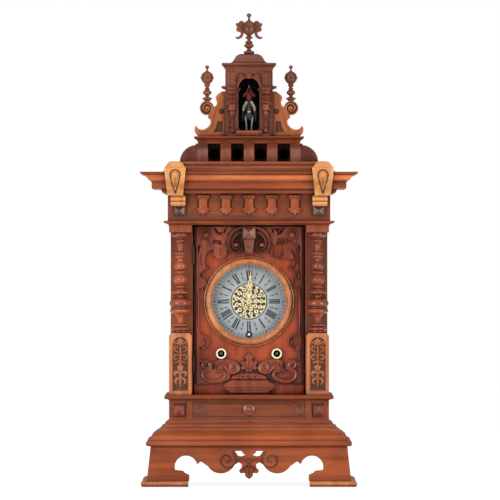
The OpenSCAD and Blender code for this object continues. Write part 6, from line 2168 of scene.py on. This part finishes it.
@dataclass
class Base(Assembly):
    """Drawer level, moulded base and carved apron."""

    apron_y: float = -139.32
    lean: float = 0.1103
    drawer_y: float = -91.5
    border: tuple[Profile, ...] = (
        ((-79.0, 173.2), (-84.0, 170.2), (-88.6, 173.6), (-97.0, 174.4), (-107.0, 170.6), (-112.4, 163.8),
         (-112.0, 155.6), (-106.0, 149.0), (-97.0, 145.8), (-86.0, 146.8), (-76.0, 145.6)),
        ((-99.0, 170.4), (-105.4, 165.0), (-107.0, 158.6), (-103.0, 152.4), (-95.0, 150.2), (-88.0, 151.6),
         (-86.0, 154.8), (-90.0, 156.8)),
        ((-92.0, 167.0), (-98.0, 163.4), (-99.0, 158.0), (-95.0, 155.6)),
    )
    boards: tuple[tuple[str, Wood], ...] = (
        ("apron", WALNUT), ("base_moulding", WALNUT), ("shelf_board", WALNUT), ("foot_pads", WALNUT_AMBER),
        ("drawer_front", WALNUT_DRAWER), ("drawer_case", WALNUT),
    )

    def build(self) -> None:
        """Refines the boards and adds the engraving and the carving."""
        for node, finish in self.boards:
            self.bench.soften(node, finish)
        self.bench.soften("drawer_knob", WALNUT_TURNED, 0.0, 50.0)
        self._drawer()
        self._blocks()
        self._apron()

    def _drawer(self) -> None:
        """Engraved border with scrolled ends on the drawer front."""
        line = Shape()
        y = self.drawer_y
        for path in self.border:
            line.vein(path, (0.6, 0.6, 0.5), y - 0.5, y + 0.3)
        line.mirrored()
        for z in (173.2, 145.6):
            line.strap([(-79.0, z), (0.0, z), (79.0, z)], [0.55, 0.55, 0.55], y - 0.45, y + 0.3, RIDGED)
        rose = [(12.0, 0.3), (12.0, -0.9), (11.0, -1.3), (9.6, -0.6), (9.6, 0.3)]
        line.turned((0, y, 160.9), Axis.DEEP, rose, 40)
        self.bench.fit("drawer_engraving", line, WALNUT_CREST, "drawer_front")

    def _blocks(self) -> None:
        """Dark frames and facets on the drawer level's end blocks."""
        y = FRONT_Y
        ring = upright(147.4, 15.8, 142.6, 174.0)
        shape = Shape().strap([*ring, ring[0]], [0.9] * 5, y - 1.0, y + 0.5, ROUNDED, False)
        block = upright(147.4, 11.4, 147.4, 169.4)
        shape.plate(block, y - 1.2, y + 0.6, 0.6)
        shape.pyramid(inset(block, 1.0), y - 1.1, 6.4)
        self.bench.fit("drawer_blocks", shape.mirrored(), WALNUT_CARVED, "drawer_case")

    def _apron(self) -> None:
        """Spirals, boss and palmette, sheared to the leaning apron."""
        shape = Shape()
        y = self.apron_y
        lines = Shape()
        curl = spiral(46.0, 56.0, 3.4, 20.4, 300, -1.5, 60)
        lines.strap(curl, taper(len(curl), 1.1, 1.4, 0.1), y - 1.2, y + 1.0, FLAT)
        lines.mirrored()
        shape.vein(((6.0, 55.0), (13.0, 58.6), (21.0, 56.0), (28.0, 51.0)), (1.6, 0.6, 0.8), y - 1.6,
                   y + 1.0, 5)
        for path in (((2.0, 46.0), (7.0, 42.0), (9.0, 34.0), (5.0, 29.0)),
                     ((2.0, 42.0), (11.0, 41.0), (15.0, 34.0))):
            shape.vein(path, (0.8, 0.6, 1.6), y - 2.2, y + 1.0)
        shape.mirrored()
        shape.strap([(0, 45.0), (0, 36.0), (0, 20.0)], [1.2, 3.0, 0.8], y - 2.2, y + 1.0, RIDGED)
        boss = [(6.6, 1), (6.6, -1.2), (5.2, -2.2), (4.0, -1.4), (3.4, -1.4), (2.4, -3.6), (0, -4.2)]
        shape.turned((0, y, 53.6), Axis.DEEP, boss, 28)
        for name, part, finish in (("apron_carving", shape, WALNUT_CARVED),
                                   ("apron_lines", lines, WALNUT_CREST)):
            made = part.mesh()
            made.transform(Matrix(((1, 0, 0, 0), (0, 1, self.lean, 0), (0, 0, 1, 0), (0, 0, 0, 1))))
            self.bench.fit(name, made, finish, "apron")


def dress_rest(bench: Bench) -> None:
    """Gives every CAD node that still shows a finish of its own.

    Args:
        bench: where the frame is kept.
    """
    finishes = {
        "brass": BRASS, "steel": STEEL, "gilt": GILT, "pewter": PEWTER, "bone": BONE,
        "walnut_dark": WALNUT_DARK, "walnut_light": WALNUT_GOLD, "walnut": WALNUT_UP,
    }
    for node, made in bench.frame["nodes"].items():
        if made.hide_render:
            continue
        slots = [m.name for m in made.data.materials if m]
        key = next((k for k in finishes if slots and slots[0].startswith(k)), "walnut")
        # Arbors take the near-white steel as painted light.
        if node.endswith("_arbor"):
            bench.paint(node, STEEL_PAINTED_LIGHT)
        elif key.startswith("walnut"):
            bench.soften(node, finishes[key], 0.5)
        else:
            bench.paint(node, finishes[key])


def main() -> None:
    """Builds the studio and dresses the clock."""
    logging.basicConfig(level=logging.INFO, format="%(message)s")
    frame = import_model()
    bench = Bench(frame)
    Studio().build()
    for assembly in (Case, Base, Supports, DoorCarving, DialWork, Entablature, Turret, Bugler):
        LOG.info("building the %s", assembly.__name__)
        assembly(bench).build()
    dress_rest(bench)
    LOG.info("%d pieces", bench.count)


if __name__ == "__main__":
    main()
